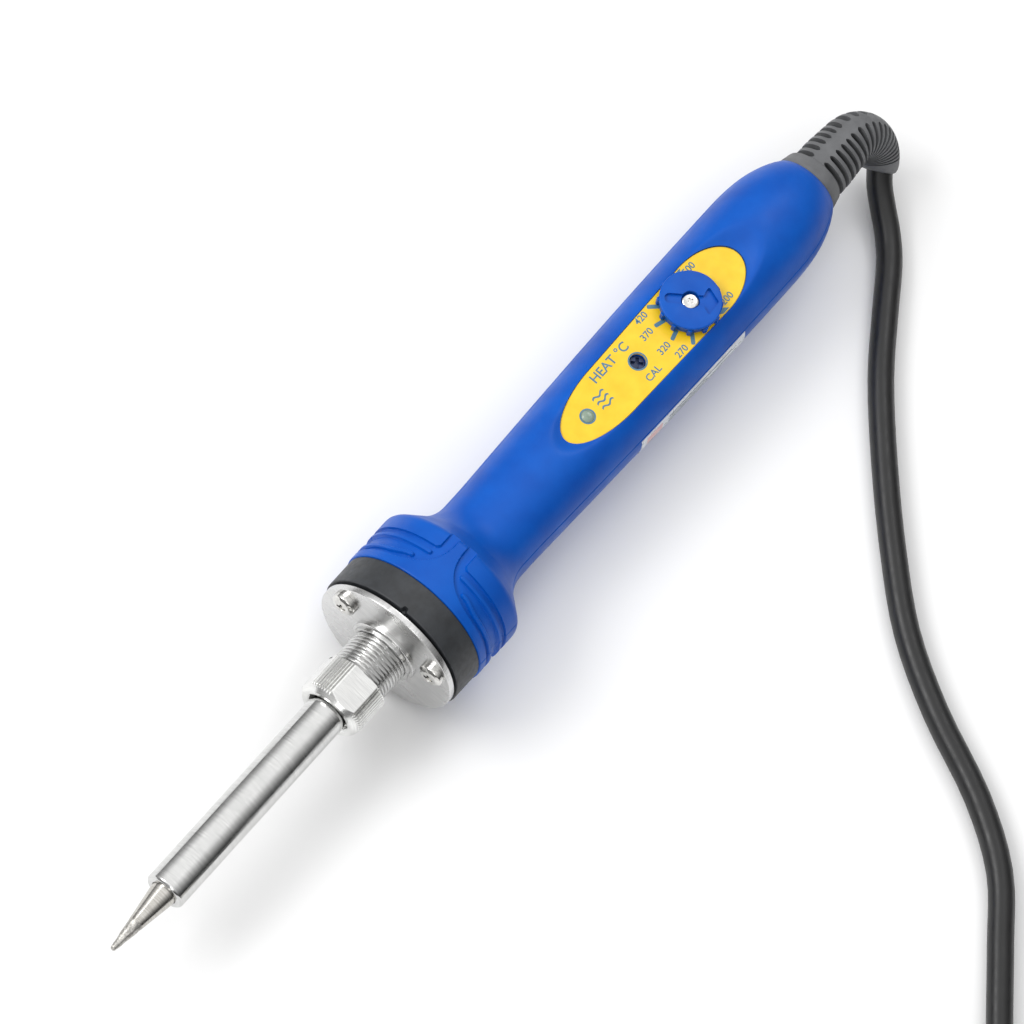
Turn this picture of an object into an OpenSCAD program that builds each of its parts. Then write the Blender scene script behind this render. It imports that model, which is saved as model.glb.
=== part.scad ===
// Hand-held soldering iron with a temperature dial, cord guard, mains cord and plug.
// The iron lies along X with its tip toward -X and its dial facing +Z; z = 0 is the bench.
// Inside the modules x is counted from the end of the tip, and y and z from the iron's axis.

/* [Overall] */
// length from the end of the tip to the back of the handle
overall_length = 253; // [250:0.5:256]
// radius of the hand guard, which also sets the height of the axis over the bench
guard_r = 19.4; // [19:0.1:20.5]
// radius of the neck behind the guard
neck_r = 11.75; // [11.5:0.05:12.2]
// largest radius of the barrel
barrel_r = 13.25; // [13:0.05:13.8]
// height of the shell seam above the axis
seam_z = 4; // [3:0.5:5]

/* [Tip and sleeve] */
// radius of the tip where its cone starts
tip_r = 3.25; // [3:0.05:3.3]
// length of the cone
cone_l = 17.8; // [14:0.1:18]
// outside radius of the sleeve
sleeve_r = 5; // [4.9:0.05:5.1]
// radius of the heating element
heater_r = 1.95; // [1.8:0.05:2]

/* [Nut and nipple] */
// outside radius of the nut
nut_r = 8.5; // [8.3:0.1:8.6]
// crest radius of the nipple's thread
thread_r = 7.25; // [7.1:0.05:7.3]
// distance between the thread's crests
pitch = 1; // [0.9:0.05:1.1]
// radius of the flange plate
flange_r = 18.6; // [18:0.1:19]
// radius of the circle that the flange screws stand on
screw_circle_r = 14.7; // [14:0.1:15]

/* [Dial] */
// place of the dial's centre along the iron
dial_x = 206; // [204:0.5:207]
// radius of the dial's top
dial_r = 7.25; // [7:0.05:7.3]
// ribs around the dial's skirt
dial_ribs = 12; // [8:1:16]
// angle of the 200 mark, counted from the direction of the tip
mark_min = 128; // [110:1:135]

/* [Cord] */
// radius of the mains cord
cord_r = 3.15; // [3:0.05:3.3]
// radius of the centre line where the cord guard bends
guard_bend_r = 8; // [7.5:0.5:9]
// angle that the cord guard turns through
guard_turn = 130; // [126:1:134]

/* [Hidden] */
$fn = 64;
slip = 0.05;                      // radial clearance of running fits
gap = 0.4;                        // clearance between parts that pass each other
axis_z = guard_r;

// stations along the iron
sleeve_x0 = 18;
sleeve_x1 = 80.6;
nut_x0 = 75.8;
nut_x1 = 86.05;
nut_flat_z = nut_r * cos(24);
lip_x1 = 78.8;
nipple_x0 = 80.7;
nipple_x1 = 104;
thread_x1 = 94.9;
flange_x0 = 97;
flange_t = 1.5;
ring_x0 = 99.2;
ring_x1 = 107;
front_wall_x1 = 109.5;
shoulder_x = 120.76;               // where the flank would meet the guard's cylinder
flank_angle = 47;
guard_round = 2;                  // radius of the arc over the guard's rear edge
neck_round = 10;                  // radius of the arc down into the neck
barrel_x0 = 138;
barrel_x1 = 222;
tail_x0 = 230;
tail_wall_x = 247.5;
tail_r = 8.6;

// sleeve and tip
sleeve_bore_r = 4.4;
sleeve_plain_x1 = 75.3;
lip_bore_r = tip_r + 0.1;
tip_collar_r = 3.9;
tip_bore_x = 25.8;
tip_x1 = 46;

// nipple
nipple_bore_r = 4.6;
nipple_tail_r = 6;
thread_depth = 0.55;
boss_r = 8.75;
pin_screw_r = 1.5;
pin_head_r = 2.95;

// shells
wall = 2.1;
shell_steps = 18;
recess_z = 9.9;
label_t = 0.5;
label_z = recess_z + label_t;
ceiling_z = 8.2;
label_x0 = 160.1;
label_x1 = 224.4;
label_half = 7.7;
label_front_half = 7.05;
label_front_x = 178;
label_rear_x = 212;
trimmer_x = 187;
lamp_x = 168.4;
shaft_r = 3;
lamp_r = 1.5;
trimmer_hole_r = 2.15;
grip_x0 = 110.2;
grip_x1 = 118;
grip_ribs = 3;
grip_depth = 0.5;

// electronics
board_z = -0.6;
board_t = 1.6;
board_top = board_z + board_t;
board_x0 = 152;
board_x1 = 232;
board_half = 8.4;
lead_z = board_top + 0.6;

// places of the shell screws, x and y
shell_screws_at = [[148, 6.6], [148, -6.6], [236, 6], [236, -6]];
clamp_x = 241.3;
clamp_screw_y = 6;

// cord guard
guard_straight_x = 268.5;
guard_rings = 14;
guard_neck_r = 5.6;
bend_side = [0, -0.643, -0.766];   // direction, across the iron, toward which the cord guard bends

// cord route on the bench, in frame coordinates
cord_route = [
    [148.13, -8.45, 9.33], [145.2, -11.3, 6.8], [142.1, -15.3, 4.8], [138.3, -19.9, 3.6],
    [132.5, -25, 3.15], [122, -31.9, 3.15], [108, -41.5, 3.15], [92, -55, 3.15], [76, -70, 3.15],
    [62, -85, 3.15], [51, -102, 3.15], [41, -122, 3.15], [30, -137, 3.15],
    [16, -148, 3.15], [0, -160, 3.15], [-16, -172.5, 3.15], [-32, -185, 3.15],
    [-47.5, -197.5, 3.15]];
route_steps = 3;
coil_at = [-71.4, -167.6];
coil_inner_r = 32;
coil_outer_r = coil_inner_r + 2 * cord_r;
coil_layers = 3;
plug_at = [-119, coil_at[1] - coil_outer_r, 12];
plug_l = 34;
plug_w = 26;
plug_h = 24;
plug_relief_l = 22;

// ---- shared helpers ----

// puts an iron-based shape into the frame
module on_bench() translate([-overall_length / 2, 0, axis_z]) children();

// turns an outline of [radius, x] points about the iron's axis
module turned(outline) rotate([0, 90, 0]) rotate_extrude() polygon(outline);

module rod(x0, x1, r) translate([x0, 0, 0]) rotate([0, 90, 0]) cylinder(r = r, h = x1 - x0);

module pipe(x0, x1, outer, inner) difference() {
    rod(x0, x1, outer);
    rod(x0 - 1, x1 + 1, inner);
}

module block(x0, x1, y0, y1, z0, z1) translate([x0, y0, z0]) cube([x1 - x0, y1 - y0, z1 - z0]);

module post(x, y, z0, z1, r) translate([x, y, z0]) cylinder(r = r, h = z1 - z0);

module cross_recess(size, depth) for (turn = [0, 90])
    rotate([0, 0, turn]) translate([-size / 2, -size / 7, -depth]) cube([size, size * 2 / 7, depth + 1]);

// a pan-head or set screw standing on z = 0 with its shank below
module screw(head_r, head_h, shank_r, shank_l) difference() {
    union() {
        cylinder(r = head_r, h = head_h * 0.55);
        translate([0, 0, head_h * 0.55]) cylinder(r1 = head_r, r2 = head_r * 0.72, h = head_h * 0.45);
        translate([0, 0, -shank_l]) cylinder(r = shank_r, h = shank_l);
    }
    translate([0, 0, head_h]) cross_recess(head_r, head_h * 0.6);
}

module rounded_rect(w, h, r) {
    square([w - 2 * r, h], center = true);
    square([w, h - 2 * r], center = true);
    for (sx = [-1, 1], sy = [-1, 1]) translate([sx * (w / 2 - r), sy * (h / 2 - r)]) circle(r = r);
}

function unit(v) = v / norm(v);
function tangent(path, i) = unit(path[min(i + 1, len(path) - 1)] - path[max(i - 1, 0)]);
function side_of(dir) = unit(cross(dir, [0, 0, 1]));

// a smooth curve through four neighbouring points
function spline(a, b, c, d, t) = 0.5 * (2 * b + (c - a) * t + (2 * a - 5 * b + 4 * c - d) * t * t
    + (3 * b - a - 3 * c + d) * t * t * t);
function smooth_path(p, steps) = concat([for (i = [0 : len(p) - 2], k = [0 : steps - 1])
    spline(p[max(i - 1, 0)], p[i], p[i + 1], p[min(i + 2, len(p) - 1)], k / steps)],
    [p[len(p) - 1]]);

function ring_points(centre, dir, r, sides) = let (s = side_of(dir), u = cross(s, dir))
    [for (k = [0 : sides - 1]) centre + r * (cos(360 * k / sides) * s + sin(360 * k / sides) * u)];

// sweeps a round section of changing radius along a path
module swept(path, radii, sides) {
    rings = len(path);
    points = [for (i = [0 : rings - 1]) each ring_points(path[i], tangent(path, i), radii[i], sides)];
    walls = [for (i = [0 : rings - 2], k = [0 : sides - 1]) let (n = (k + 1) % sides)
        [i * sides + k, i * sides + n, (i + 1) * sides + n, (i + 1) * sides + k]];
    start = [for (k = [sides - 1 : -1 : 0]) k];
    finish = [for (k = [0 : sides - 1]) (rings - 1) * sides + k];
    polyhedron(points, concat(walls, [start, finish]));
}

// ---- front end ----

module soldering_tip() color("Silver") difference() {
    turned([[0, 0], [0.42, 0], [0.62, 0.25], [tip_r, cone_l], [tip_r, 20], [tip_collar_r, 20],
        [tip_collar_r, 24], [tip_r, 24], [tip_r, tip_x1], [0, tip_x1]]);
    rod(tip_bore_x, tip_x1 + 1, heater_r + slip + 0.02);
}

module tip_sleeve() color("Gainsboro") turned([[lip_bore_r, sleeve_x0], [4.4, sleeve_x0],
    [4.85, sleeve_x0 + 0.4], [sleeve_r, sleeve_x0 + 1.2], [sleeve_r, sleeve_plain_x1],
    [sleeve_r - 0.25, sleeve_plain_x1], [sleeve_r - 0.25, lip_x1 + 0.1], [6.9, lip_x1 + 0.1],
    [6.9, sleeve_x1], [sleeve_bore_r, sleeve_x1], [sleeve_bore_r, 20], [lip_bore_r, 19.9]]);

// four polished flats are cut across the nut, with serrated corners between them
module retaining_nut() color("WhiteSmoke") difference() {
    turned([[6, nut_x0], [7.05, nut_x0], [nut_r, nut_x0 + 1.7], [nut_r, nut_x1 - 0.2],
        [nut_r - 0.2, nut_x1], [thread_r + slip, nut_x1], [thread_r + slip, lip_x1],
        [5.45, lip_x1], [5.45, nut_x0 + 0.5]]);
    for (turn = [16 : 90 : 286]) rotate([turn, 0, 0])
        block(nut_x0 - 1, nut_x1 + 1, -9, 9, nut_flat_z, nut_r + 2);
    for (corner = [61 : 90 : 331], k = [-4 : 4]) rotate([corner + 4.6 * k, 0, 0])
        translate([nut_x0 - 1, 0, nut_r + 0.02]) rotate([45, 0, 0])
            cube([nut_x1 - nut_x0 + 2, 0.32, 0.32]);
}

function thread_outline(x0, x1) = [for (i = [0 : floor((x1 - x0) / pitch) - 1])
    each [[thread_r, x0 + i * pitch + 0.3 * pitch], [thread_r, x0 + (i + 0.6) * pitch],
        [thread_r - thread_depth, x0 + (i + 0.95) * pitch]]];

module threaded_nipple() color("LightGray") difference() {
    turned(concat([[nipple_bore_r, nipple_x0], [thread_r - thread_depth, nipple_x0]],
        thread_outline(nipple_x0, thread_x1),
        [[thread_r - thread_depth, thread_x1], [boss_r - 0.3, thread_x1], [boss_r, thread_x1 + 0.3],
        [boss_r, flange_x0], [nipple_tail_r, flange_x0], [nipple_tail_r, nipple_x1],
        [nipple_bore_r, nipple_x1]]));
    rotate([22, 0, 0]) block(nipple_x0 - 1, thread_x1 - 0.6, -4, 4, thread_r - 0.2, thread_r + 1);
}

module at_flange_screws() for (turn = [60, 180, 300])
    rotate([turn, 0, 0]) translate([0, 0, screw_circle_r]) children();

module flange_plate() color("Silver") difference() {
    pipe(flange_x0, flange_x0 + flange_t, flange_r, nipple_tail_r + slip);
    at_flange_screws() rod(flange_x0 - 1, flange_x0 + flange_t + 1, pin_screw_r + 0.1);
}

module flange_screws() color("White") at_flange_screws()
    translate([flange_x0, 0, 0]) rotate([0, -90, 0]) screw(pin_head_r, 2, pin_screw_r, 20);

module nipple_locknut() color("Silver") difference() {
    translate([flange_x0 + flange_t, 0, 0]) rotate([0, 90, 0]) cylinder(r = 8.6, h = 3.5, $fn = 6);
    rod(flange_x0, ring_x1, nipple_tail_r);
}

module earth_tag() color("Goldenrod") difference() {
    union() {
        pipe(102, 102.5, 7.3, nipple_tail_r);
        block(102, 102.5, -1.2, 1.2, -8.4, -6.6);
    }
    rod(101, 103, nipple_tail_r);
}

// the ring stands off the flange on three low bosses
module insulator_ring() color("DimGray") difference() {
    union() {
        rod(ring_x0, ring_x1, 19.05);
        at_flange_screws() rod(flange_x0 + flange_t, ring_x0 + 1, 3);
    }
    rod(ring_x0 - 1, 103.5, 9.7);
    rod(103, ring_x1 + 1, 7.5);
    at_flange_screws() rod(flange_x0, ring_x1 + 1, pin_screw_r + 0.1);
    translate([ring_x0 + 0.3, 0, 19.05]) cube([1.2, 1.2, 1.6], center = true);
}

module heating_element() color("White") rod(26, 92, heater_r);

module heater_collar() color("Ivory") rod(92, 94, nipple_bore_r);

module heater_leads() color("Tomato") for (y = [-2.1, -0.7, 0.7, 2.1])
    translate([0, y, lead_z]) rod(94, 157, 0.6);

module lead_sleeving() color("Beige") translate([0, 0, lead_z]) pipe(104.5, 145, 3.3, 2.7);

module earth_wire() color("LimeGreen") {
    route = [[102.5, 0, -6.75], [120, 0, -6.75], [134, 0, -6], [146, 0, -3], [152, 0, -1.4],
        [157, 0, -1.2]];
    path = smooth_path(route, 4);
    swept(path, [for (p = path) 0.6], 8);
}

// ---- handle ----

// the guard ends in an arc, a straight flank and a hollow arc into the neck
neck_x = shoulder_x + (guard_r - neck_r) / tan(flank_angle);
round_x0 = shoulder_x - guard_round * tan(flank_angle / 2);
hollow_x1 = neck_x + neck_round * tan(flank_angle / 2);
function over_guard(a) = [guard_r - guard_round * (1 - cos(a)), round_x0 + guard_round * sin(a)];
function into_neck(a) = [neck_r + neck_round * (1 - cos(a)), hollow_x1 - neck_round * sin(a)];
function barrel(x) = neck_r + (barrel_r - neck_r) * sin(90 * (x - barrel_x0) / (barrel_x1 - barrel_x0));
function tail(x) = barrel_r - (barrel_r - tail_r) * pow((x - tail_x0) / (overall_length - tail_x0), 3);
function between(a, b, k) = a + (b - a) * k / shell_steps;

// outline of the handle from the shoulder back, shrunk by a wall and cut off at x_end
function handle_outline(shrink, x_end) = concat(
    [for (a = [0 : flank_angle / 4 : flank_angle]) over_guard(a) - [shrink, 0]],
    [for (a = [flank_angle : -flank_angle / 8 : 0]) into_neck(a) - [shrink, 0]],
    [for (k = [0 : shell_steps]) let (x = between(barrel_x0, barrel_x1, k)) [barrel(x) - shrink, x]],
    [for (k = [0 : shell_steps]) let (x = between(tail_x0, x_end, k)) [tail(x) - shrink, x]]);

module handle_solid() turned(concat([[0, ring_x1], [guard_r - 0.25, ring_x1], [guard_r, ring_x1 + 0.25]],
    handle_outline(0, overall_length), [[0, overall_length]]));

module handle_cavity() difference() {
    turned(concat([[0, front_wall_x1], [guard_r - 2.4, front_wall_x1]],
        handle_outline(wall, tail_wall_x), [[0, tail_wall_x]]));
    block(label_x0 - 4, label_x1 + 4, -20, 20, ceiling_z, 20);
}

// outline of the label, an ellipse at each end of straight sides that spread slightly
function label_outline(shrink) = concat(
    [for (a = [90 : 7.5 : 270]) [label_front_x + (label_front_x - label_x0 - shrink) * cos(a),
        (label_front_half - shrink) * sin(a)]],
    [for (a = [-90 : 7.5 : 90]) [label_rear_x + (label_x1 - shrink - label_rear_x) * cos(a),
        (label_half - shrink) * sin(a)]]);

module label_holes(z0, z1) {
    post(lamp_x, 0, z0, z1, lamp_r);
    post(trimmer_x, 0, z0, z1, trimmer_hole_r);
    post(dial_x, 0, z0, z1, shaft_r + gap);
}

// shallow bands beside the grip ribs, on both sides of the guard
module grip_bands() {
    band = (grip_x1 - grip_x0) / (2 * grip_ribs + 1);
    for (side = [0, 1], k = [0 : grip_ribs]) mirror([0, side, 0]) rotate([103 - 3 * k, 0, 0])
        rotate([0, 90, 0]) translate([0, 0, grip_x0 + 2 * k * band]) rotate_extrude(angle = 52)
            translate([guard_r - grip_depth, 0]) square([grip_depth + 1, band]);
}

module shell_bosses() {
    at_flange_screws() rod(front_wall_x1, 118, 3);
    for (at = shell_screws_at) post(at[0], at[1], -barrel_r, barrel_r, 2.6);
}

module shell_body() difference() {
    union() {
        difference() {
            handle_solid();
            handle_cavity();
        }
        intersection() {
            handle_solid();
            shell_bosses();
        }
    }
    translate([0, 0, recess_z]) linear_extrude(10) polygon(label_outline(0));
    label_holes(0, recess_z + 1);
    rod(ring_x1 - 1, front_wall_x1 + 1, 7.5);
    at_flange_screws() rod(ring_x1 - 1, 117, pin_screw_r);
    rod(tail_wall_x - 1, overall_length + 1, guard_neck_r + slip);
    grip_bands();
}

module above_seam() block(ring_x1 - 1, overall_length + 1, -25, 25, seam_z, 25);

module upper_shell() color("RoyalBlue") difference() {
    intersection() {
        shell_body();
        above_seam();
    }
    for (at = shell_screws_at) post(at[0], at[1], 0, 7, 1.1);
}

// the lower shell carries the board rails, the saddle and the posts of the cord clamp
module lower_shell() color("MediumBlue") difference() {
    union() {
        difference() {
            shell_body();
            above_seam();
        }
        intersection() {
            handle_solid();
            union() {
                for (side = [0, 1]) mirror([0, side, 0]) block(154, 231, 7.2, 14, board_z - 3, board_z);
                block(clamp_x - 2.5, clamp_x + 2.5, -3.4, 3.4, -12, -cord_r + 0.6);
                for (side = [-1, 1]) post(clamp_x, side * clamp_screw_y, -12, cord_r, 2.3);
            }
        }
    }
    for (at = shell_screws_at) {
        post(at[0], at[1], -15, seam_z + 1, 1.3);
        post(at[0], at[1], -15, -7.6, 2.4);
    }
    for (side = [-1, 1]) post(clamp_x, side * clamp_screw_y, -3, cord_r + 1, 1.1);
    rod(clamp_x - 4, clamp_x + 4, cord_r + slip);
}

module shell_screws() color("Silver") for (at = shell_screws_at) {
    post(at[0], at[1], -9.2, -7.6, 2.3);
    post(at[0], at[1], -7.6, seam_z, 1.3);
    post(at[0], at[1], seam_z, 7, 1.1);
}

module label_plate() color("Gold") difference() {
    translate([0, 0, recess_z]) linear_extrude(label_t) polygon(label_outline(0.1));
    label_holes(recess_z - 1, label_z + 1);
}

// thin curved label on the lower shell's near side
module rating_label() color("LightSteelBlue") rotate([0, 90, 0]) rotate([0, 0, -106])
    rotate_extrude(angle = 40) polygon(concat([for (x = [175 : 9.5 : 213]) [barrel(x) + 0.03, x]],
        [for (x = [213 : -9.5 : 175]) [barrel(x) + 0.2, x]]));

// ---- dial, lamp and electronics ----

module lamp_lens() color("MistyRose") post(lamp_x, 0, 6.6, label_z, lamp_r);

module indicator_led() color("Red") {
    post(lamp_x, 0, board_top, 2.2, 1.9);
    post(lamp_x, 0, 2.2, 6.6, lamp_r);
}

// the skirt is ribbed, and the top carries a sunk arrow and a hole for the screw
module dial_knob() color("RoyalBlue") translate([dial_x, 0, 0]) rotate([0, 0, 180 + mark_min])
    difference() {
        union() {
            translate([0, 0, label_z + 0.3]) cylinder(r = dial_r - 0.5, h = 2.4);
            translate([0, 0, label_z + 2.2]) cylinder(r = dial_r, h = 0.9);
            translate([0, 0, label_z + 3.1]) cylinder(r1 = dial_r, r2 = dial_r - 0.3, h = 0.3);
            for (k = [0 : dial_ribs - 1]) rotate([0, 0, 360 * k / dial_ribs])
                translate([dial_r - 0.7, -0.55, label_z + 0.3]) cube([1.1, 1.1, 2.2]);
        }
        translate([0, 0, label_z - 1]) cylinder(r = shaft_r, h = 2.8);
        translate([0, 0, label_z]) cylinder(r = 1.2, h = 5);
        translate([0, 0, label_z + 2.1]) cylinder(r = 2.2, h = 5);
        translate([0, 0, label_z + 2.8]) linear_extrude(2) polygon([[3, 1.25], [3.3, 2.1], [4.2, 3.6],
            [6.5, 0], [4.2, -3.6], [3.3, -2.1], [3, -1.25]]);
        translate([-5.5, -1.25, label_z + 2.8]) cube([8.6, 2.5, 2]);
        translate([-5.5, 0, label_z + 2.8]) cylinder(r = 1.25, h = 2);
    }

module dial_screw() color("White") translate([dial_x, 0, label_z + 2.1]) screw(2.1, 0.9, 1.1, 3.6);

module potentiometer_shaft() color("Silver") difference() {
    union() {
        post(dial_x, 0, 7.9, label_z + 1.8, shaft_r);
        post(dial_x, 0, 3, 7.9, 2);
    }
    post(dial_x, 0, label_z - 1.5, label_z + 2, 1.1);
}

module potentiometer_body() color("DarkSlateGray") difference() {
    block(dial_x - 6, dial_x + 6, -6, 6, board_top, 7.6);
    post(dial_x, 0, 2.8, 8, 2 + slip);
}

module trimmer_rotor() color("Navy") difference() {
    union() {
        post(trimmer_x, 0, 6.7, 9.3, 1.75);
        post(trimmer_x, 0, 3, 6.7, 1.2);
    }
    translate([trimmer_x, 0, 9.3]) rotate([0, 0, 35]) cross_recess(3, 0.9);
}

module trimmer_body() color("SteelBlue") difference() {
    block(trimmer_x - 3.3, trimmer_x + 3.3, -3.3, 3.3, board_top, 6.4);
    post(trimmer_x, 0, 2.8, 7, 1.2 + slip);
}

module control_board() color("DarkGreen")
    block(board_x0, board_x1, -board_half, board_half, board_z, board_top);

module control_chip() color("Black") block(173, 182.4, -3.2, 3.2, board_top, 4.3);

module triac() color("Black") difference() {
    block(213.5, 224, -8, -1.6, board_top, 5.5);
    translate([214, -4.8, 4]) cylinder(r = 1.6, h = 3);
}

module reservoir_capacitor() color("Indigo") translate([0, 3.6, board_top + 3.2]) rod(213, 225, 3.2);

module film_capacitor() color("Orange") block(226.2, 230.4, -8, -2.4, board_top, 6.6);

module resistors() color("Tan") for (x = [158.5, 172.5], y = [-5.4, 5.4])
    translate([0, y, board_top + 1]) rod(x, x + 6.5, 1);

module mains_conductors() color("SaddleBrown") for (y = [-1.5, 0, 1.5])
    translate([0, y, board_top + 0.65]) rod(228.5, 234.5, 0.65);

// ---- cord, clamp and plug ----

// centre line of the cord through its guard, from a station in the handle
function bend_point(a) = [guard_straight_x + guard_bend_r * sin(a), 0, 0]
    + guard_bend_r * (1 - cos(a)) * unit(bend_side);

function bent_path(x0) = concat([[x0, 0, 0]],
    [for (k = [0 : guard_rings]) bend_point(guard_turn * k / guard_rings)]);

module cord_guard() color("Gray") difference() {
    union() {
        turned([[0, 245.2], [7.4, 245.2], [7.4, tail_wall_x], [guard_neck_r, tail_wall_x],
            [guard_neck_r, overall_length], [8.2, overall_length], [8.2, overall_length + 1],
            [7.2, overall_length + 4.5], [0, overall_length + 4.5]]);
        swept(bent_path(overall_length + 4),
            [for (k = [-1 : guard_rings]) 6.6 - 2.3 * max(k, 0) / guard_rings], 24);
    }
    path = bent_path(tail_wall_x - 4);
    end = path[len(path) - 1];
    swept(concat(path, [end + tangent(path, len(path) - 1)]), [for (k = [-2 : guard_rings]) cord_r], 24);
}

module inner_cord() color("Black")
    swept(bent_path(234.5), [for (k = [-1 : guard_rings]) cord_r], 24);

module cord_clamp() color("DarkGray") difference() {
    union() {
        block(clamp_x - 2.5, clamp_x + 2.5, -8, 8, cord_r, cord_r + 1.2);
        pipe(clamp_x - 2.5, clamp_x + 2.5, cord_r + 1.2, cord_r);
    }
    block(clamp_x - 3, clamp_x + 3, -8.5, 8.5, -6, cord_r - 0.001);
    for (side = [-1, 1]) post(clamp_x, side * clamp_screw_y, 0, 6, 1.1);
}

module clamp_screws() color("Silver") for (side = [-1, 1])
    translate([clamp_x, side * clamp_screw_y, cord_r + 1.2]) screw(2, 1.3, 1.1, 6);

module cord_run() color("#202020") {
    path = smooth_path(cord_route, route_steps);
    swept(path, [for (p = path) cord_r], 10);
}

// outer shape of a coil of two turns side by side, two layers high, with one more turn on top
module cord_coil() color("#202020") translate([coil_at[0], coil_at[1], 0]) rotate_extrude()
    polygon([[coil_inner_r - cord_r, 0.6], [coil_inner_r - cord_r + 0.6, 0],
        [coil_outer_r + cord_r - 0.6, 0], [coil_outer_r + cord_r, 0.6],
        [coil_outer_r + cord_r, coil_layers * 2 * cord_r],
        [coil_outer_r - cord_r, coil_layers * 2 * cord_r], [coil_outer_r - cord_r, 4 * cord_r],
        [coil_inner_r - cord_r, 4 * cord_r]]);

// the end that leaves the coil's top turn and comes down to the plug
module cord_tail() color("#202020") {
    route = [[coil_at[0], plug_at[1], 5 * cord_r], [-80, plug_at[1], 15.2], [-88, plug_at[1], 13.6],
        [plug_at[0] + plug_relief_l, plug_at[1], plug_at[2]]];
    path = smooth_path(route, 3);
    swept(path, [for (p = path) cord_r], 10);
}

module plug_body() color("#303030") translate(plug_at) rotate([0, -90, 0]) {
    linear_extrude(plug_l) rounded_rect(plug_h, plug_w, 6);
    rotate([0, 180, 0]) cylinder(r1 = 7, r2 = cord_r + 0.9, h = plug_relief_l);
}

module plug_pins() color("Gold") translate(plug_at - [plug_l, 0, 0]) rotate([0, -90, 0]) {
    for (side = [-1, 1]) translate([-7.1, side * 6.35 - 0.75, 0]) cube([6.3, 1.5, 17.5]);
    translate([7.9, 0, 0]) cylinder(r = 2.4, h = 20);
}

on_bench() soldering_tip();
on_bench() tip_sleeve();
on_bench() retaining_nut();
on_bench() threaded_nipple();
on_bench() flange_plate();
on_bench() flange_screws();
on_bench() nipple_locknut();
on_bench() earth_tag();
on_bench() insulator_ring();
on_bench() heating_element();
on_bench() heater_collar();
on_bench() heater_leads();
on_bench() lead_sleeving();
on_bench() earth_wire();
on_bench() upper_shell();
on_bench() lower_shell();
on_bench() shell_screws();
on_bench() label_plate();
on_bench() rating_label();
on_bench() lamp_lens();
on_bench() indicator_led();
on_bench() dial_knob();
on_bench() dial_screw();
on_bench() potentiometer_shaft();
on_bench() potentiometer_body();
on_bench() trimmer_rotor();
on_bench() trimmer_body();
on_bench() control_board();
on_bench() control_chip();
on_bench() triac();
on_bench() reservoir_capacitor();
on_bench() film_capacitor();
on_bench() resistors();
on_bench() mains_conductors();
on_bench() inner_cord();
on_bench() cord_clamp();
on_bench() clamp_screws();
on_bench() cord_guard();
cord_run();
cord_coil();
cord_tail();
plug_body();
plug_pins();
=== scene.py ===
from math import acos, cos, pi, radians, sin, tan

import bpy
import numpy as np
from mathutils import Matrix, Vector, noise


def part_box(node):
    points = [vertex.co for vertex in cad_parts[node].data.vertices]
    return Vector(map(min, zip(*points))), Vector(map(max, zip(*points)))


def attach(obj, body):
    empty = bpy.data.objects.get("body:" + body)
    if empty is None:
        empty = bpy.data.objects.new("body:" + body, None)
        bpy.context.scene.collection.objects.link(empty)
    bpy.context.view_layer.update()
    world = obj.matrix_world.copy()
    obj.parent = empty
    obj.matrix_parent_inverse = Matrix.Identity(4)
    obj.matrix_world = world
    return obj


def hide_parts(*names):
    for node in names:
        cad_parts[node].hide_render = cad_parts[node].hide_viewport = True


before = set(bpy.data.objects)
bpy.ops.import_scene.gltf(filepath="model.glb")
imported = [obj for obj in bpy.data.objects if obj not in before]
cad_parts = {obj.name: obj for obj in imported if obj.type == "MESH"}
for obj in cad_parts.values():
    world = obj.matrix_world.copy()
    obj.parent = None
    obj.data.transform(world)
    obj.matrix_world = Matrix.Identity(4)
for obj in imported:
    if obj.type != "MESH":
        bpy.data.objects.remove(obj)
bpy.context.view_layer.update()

# ---- places taken from the frame ----
# Shapes are drawn in millimetres: x counts from the end of the tip, y and z from the iron's axis.
MM = 0.001
TIP_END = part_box("soldering_tip")[0].x
AXIS_Z = sum(p.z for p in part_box("tip_sleeve")) / 2


def at(x, y=0.0, z=0.0):
    """A point of the iron, in metres in the shared frame."""
    return Vector((TIP_END + x * MM, y * MM, AXIS_Z + z * MM))


def span(node, axis=0):
    """Lowest and highest place of a CAD node along one axis, in the iron's millimetres."""
    low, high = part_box(node)
    start = (TIP_END, 0.0, AXIS_Z)[axis]
    return (low[axis] - start) / MM, (high[axis] - start) / MM


RING_X0, RING_X1 = 99.2, span("insulator_ring")[1]
FLANGE_X0, FLANGE_X1 = span("flange_plate")
FLANGE_R = span("flange_plate", 2)[1]
GUARD_R = AXIS_Z / MM
SLEEVE_X0, SLEEVE_X1 = span("tip_sleeve")
NUT_X0, NUT_X1 = span("retaining_nut")
DIAL_X = sum(span("potentiometer_shaft")) / 2
TRIMMER_X = sum(span("trimmer_rotor")) / 2
LAMP_X = sum(span("lamp_lens")) / 2
LABEL_Z = span("label_plate", 2)[1]
RECESS_Z = span("label_plate", 2)[0]
HANDLE_X1 = 253.0
CORD_R = 3.15


def added(name, data):
    """A new object in the scene."""
    made = bpy.data.objects.new(name, data)
    bpy.context.scene.collection.objects.link(made)
    return made


# ---- camera, at the photograph's angle ----
VIEW = Vector((-0.393, -0.128, 0.9106)).normalized()
RIGHT = Vector((0.6181, -0.7699, 0.1586)).normalized()
DISTANCE = 2.05
TARGET = Vector((0.0161, -0.0004, 0.0194))

camera = added("camera", bpy.data.cameras.new("camera"))
camera.data.lens = 316.7
camera.data.sensor_width = 36
camera.data.clip_end = 20
up = VIEW.cross(RIGHT)
turn = Matrix((RIGHT, up, VIEW)).transposed()
camera.matrix_world = Matrix.Translation(TARGET + DISTANCE * VIEW) @ turn.to_4x4()
bpy.context.scene.camera = camera


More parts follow.
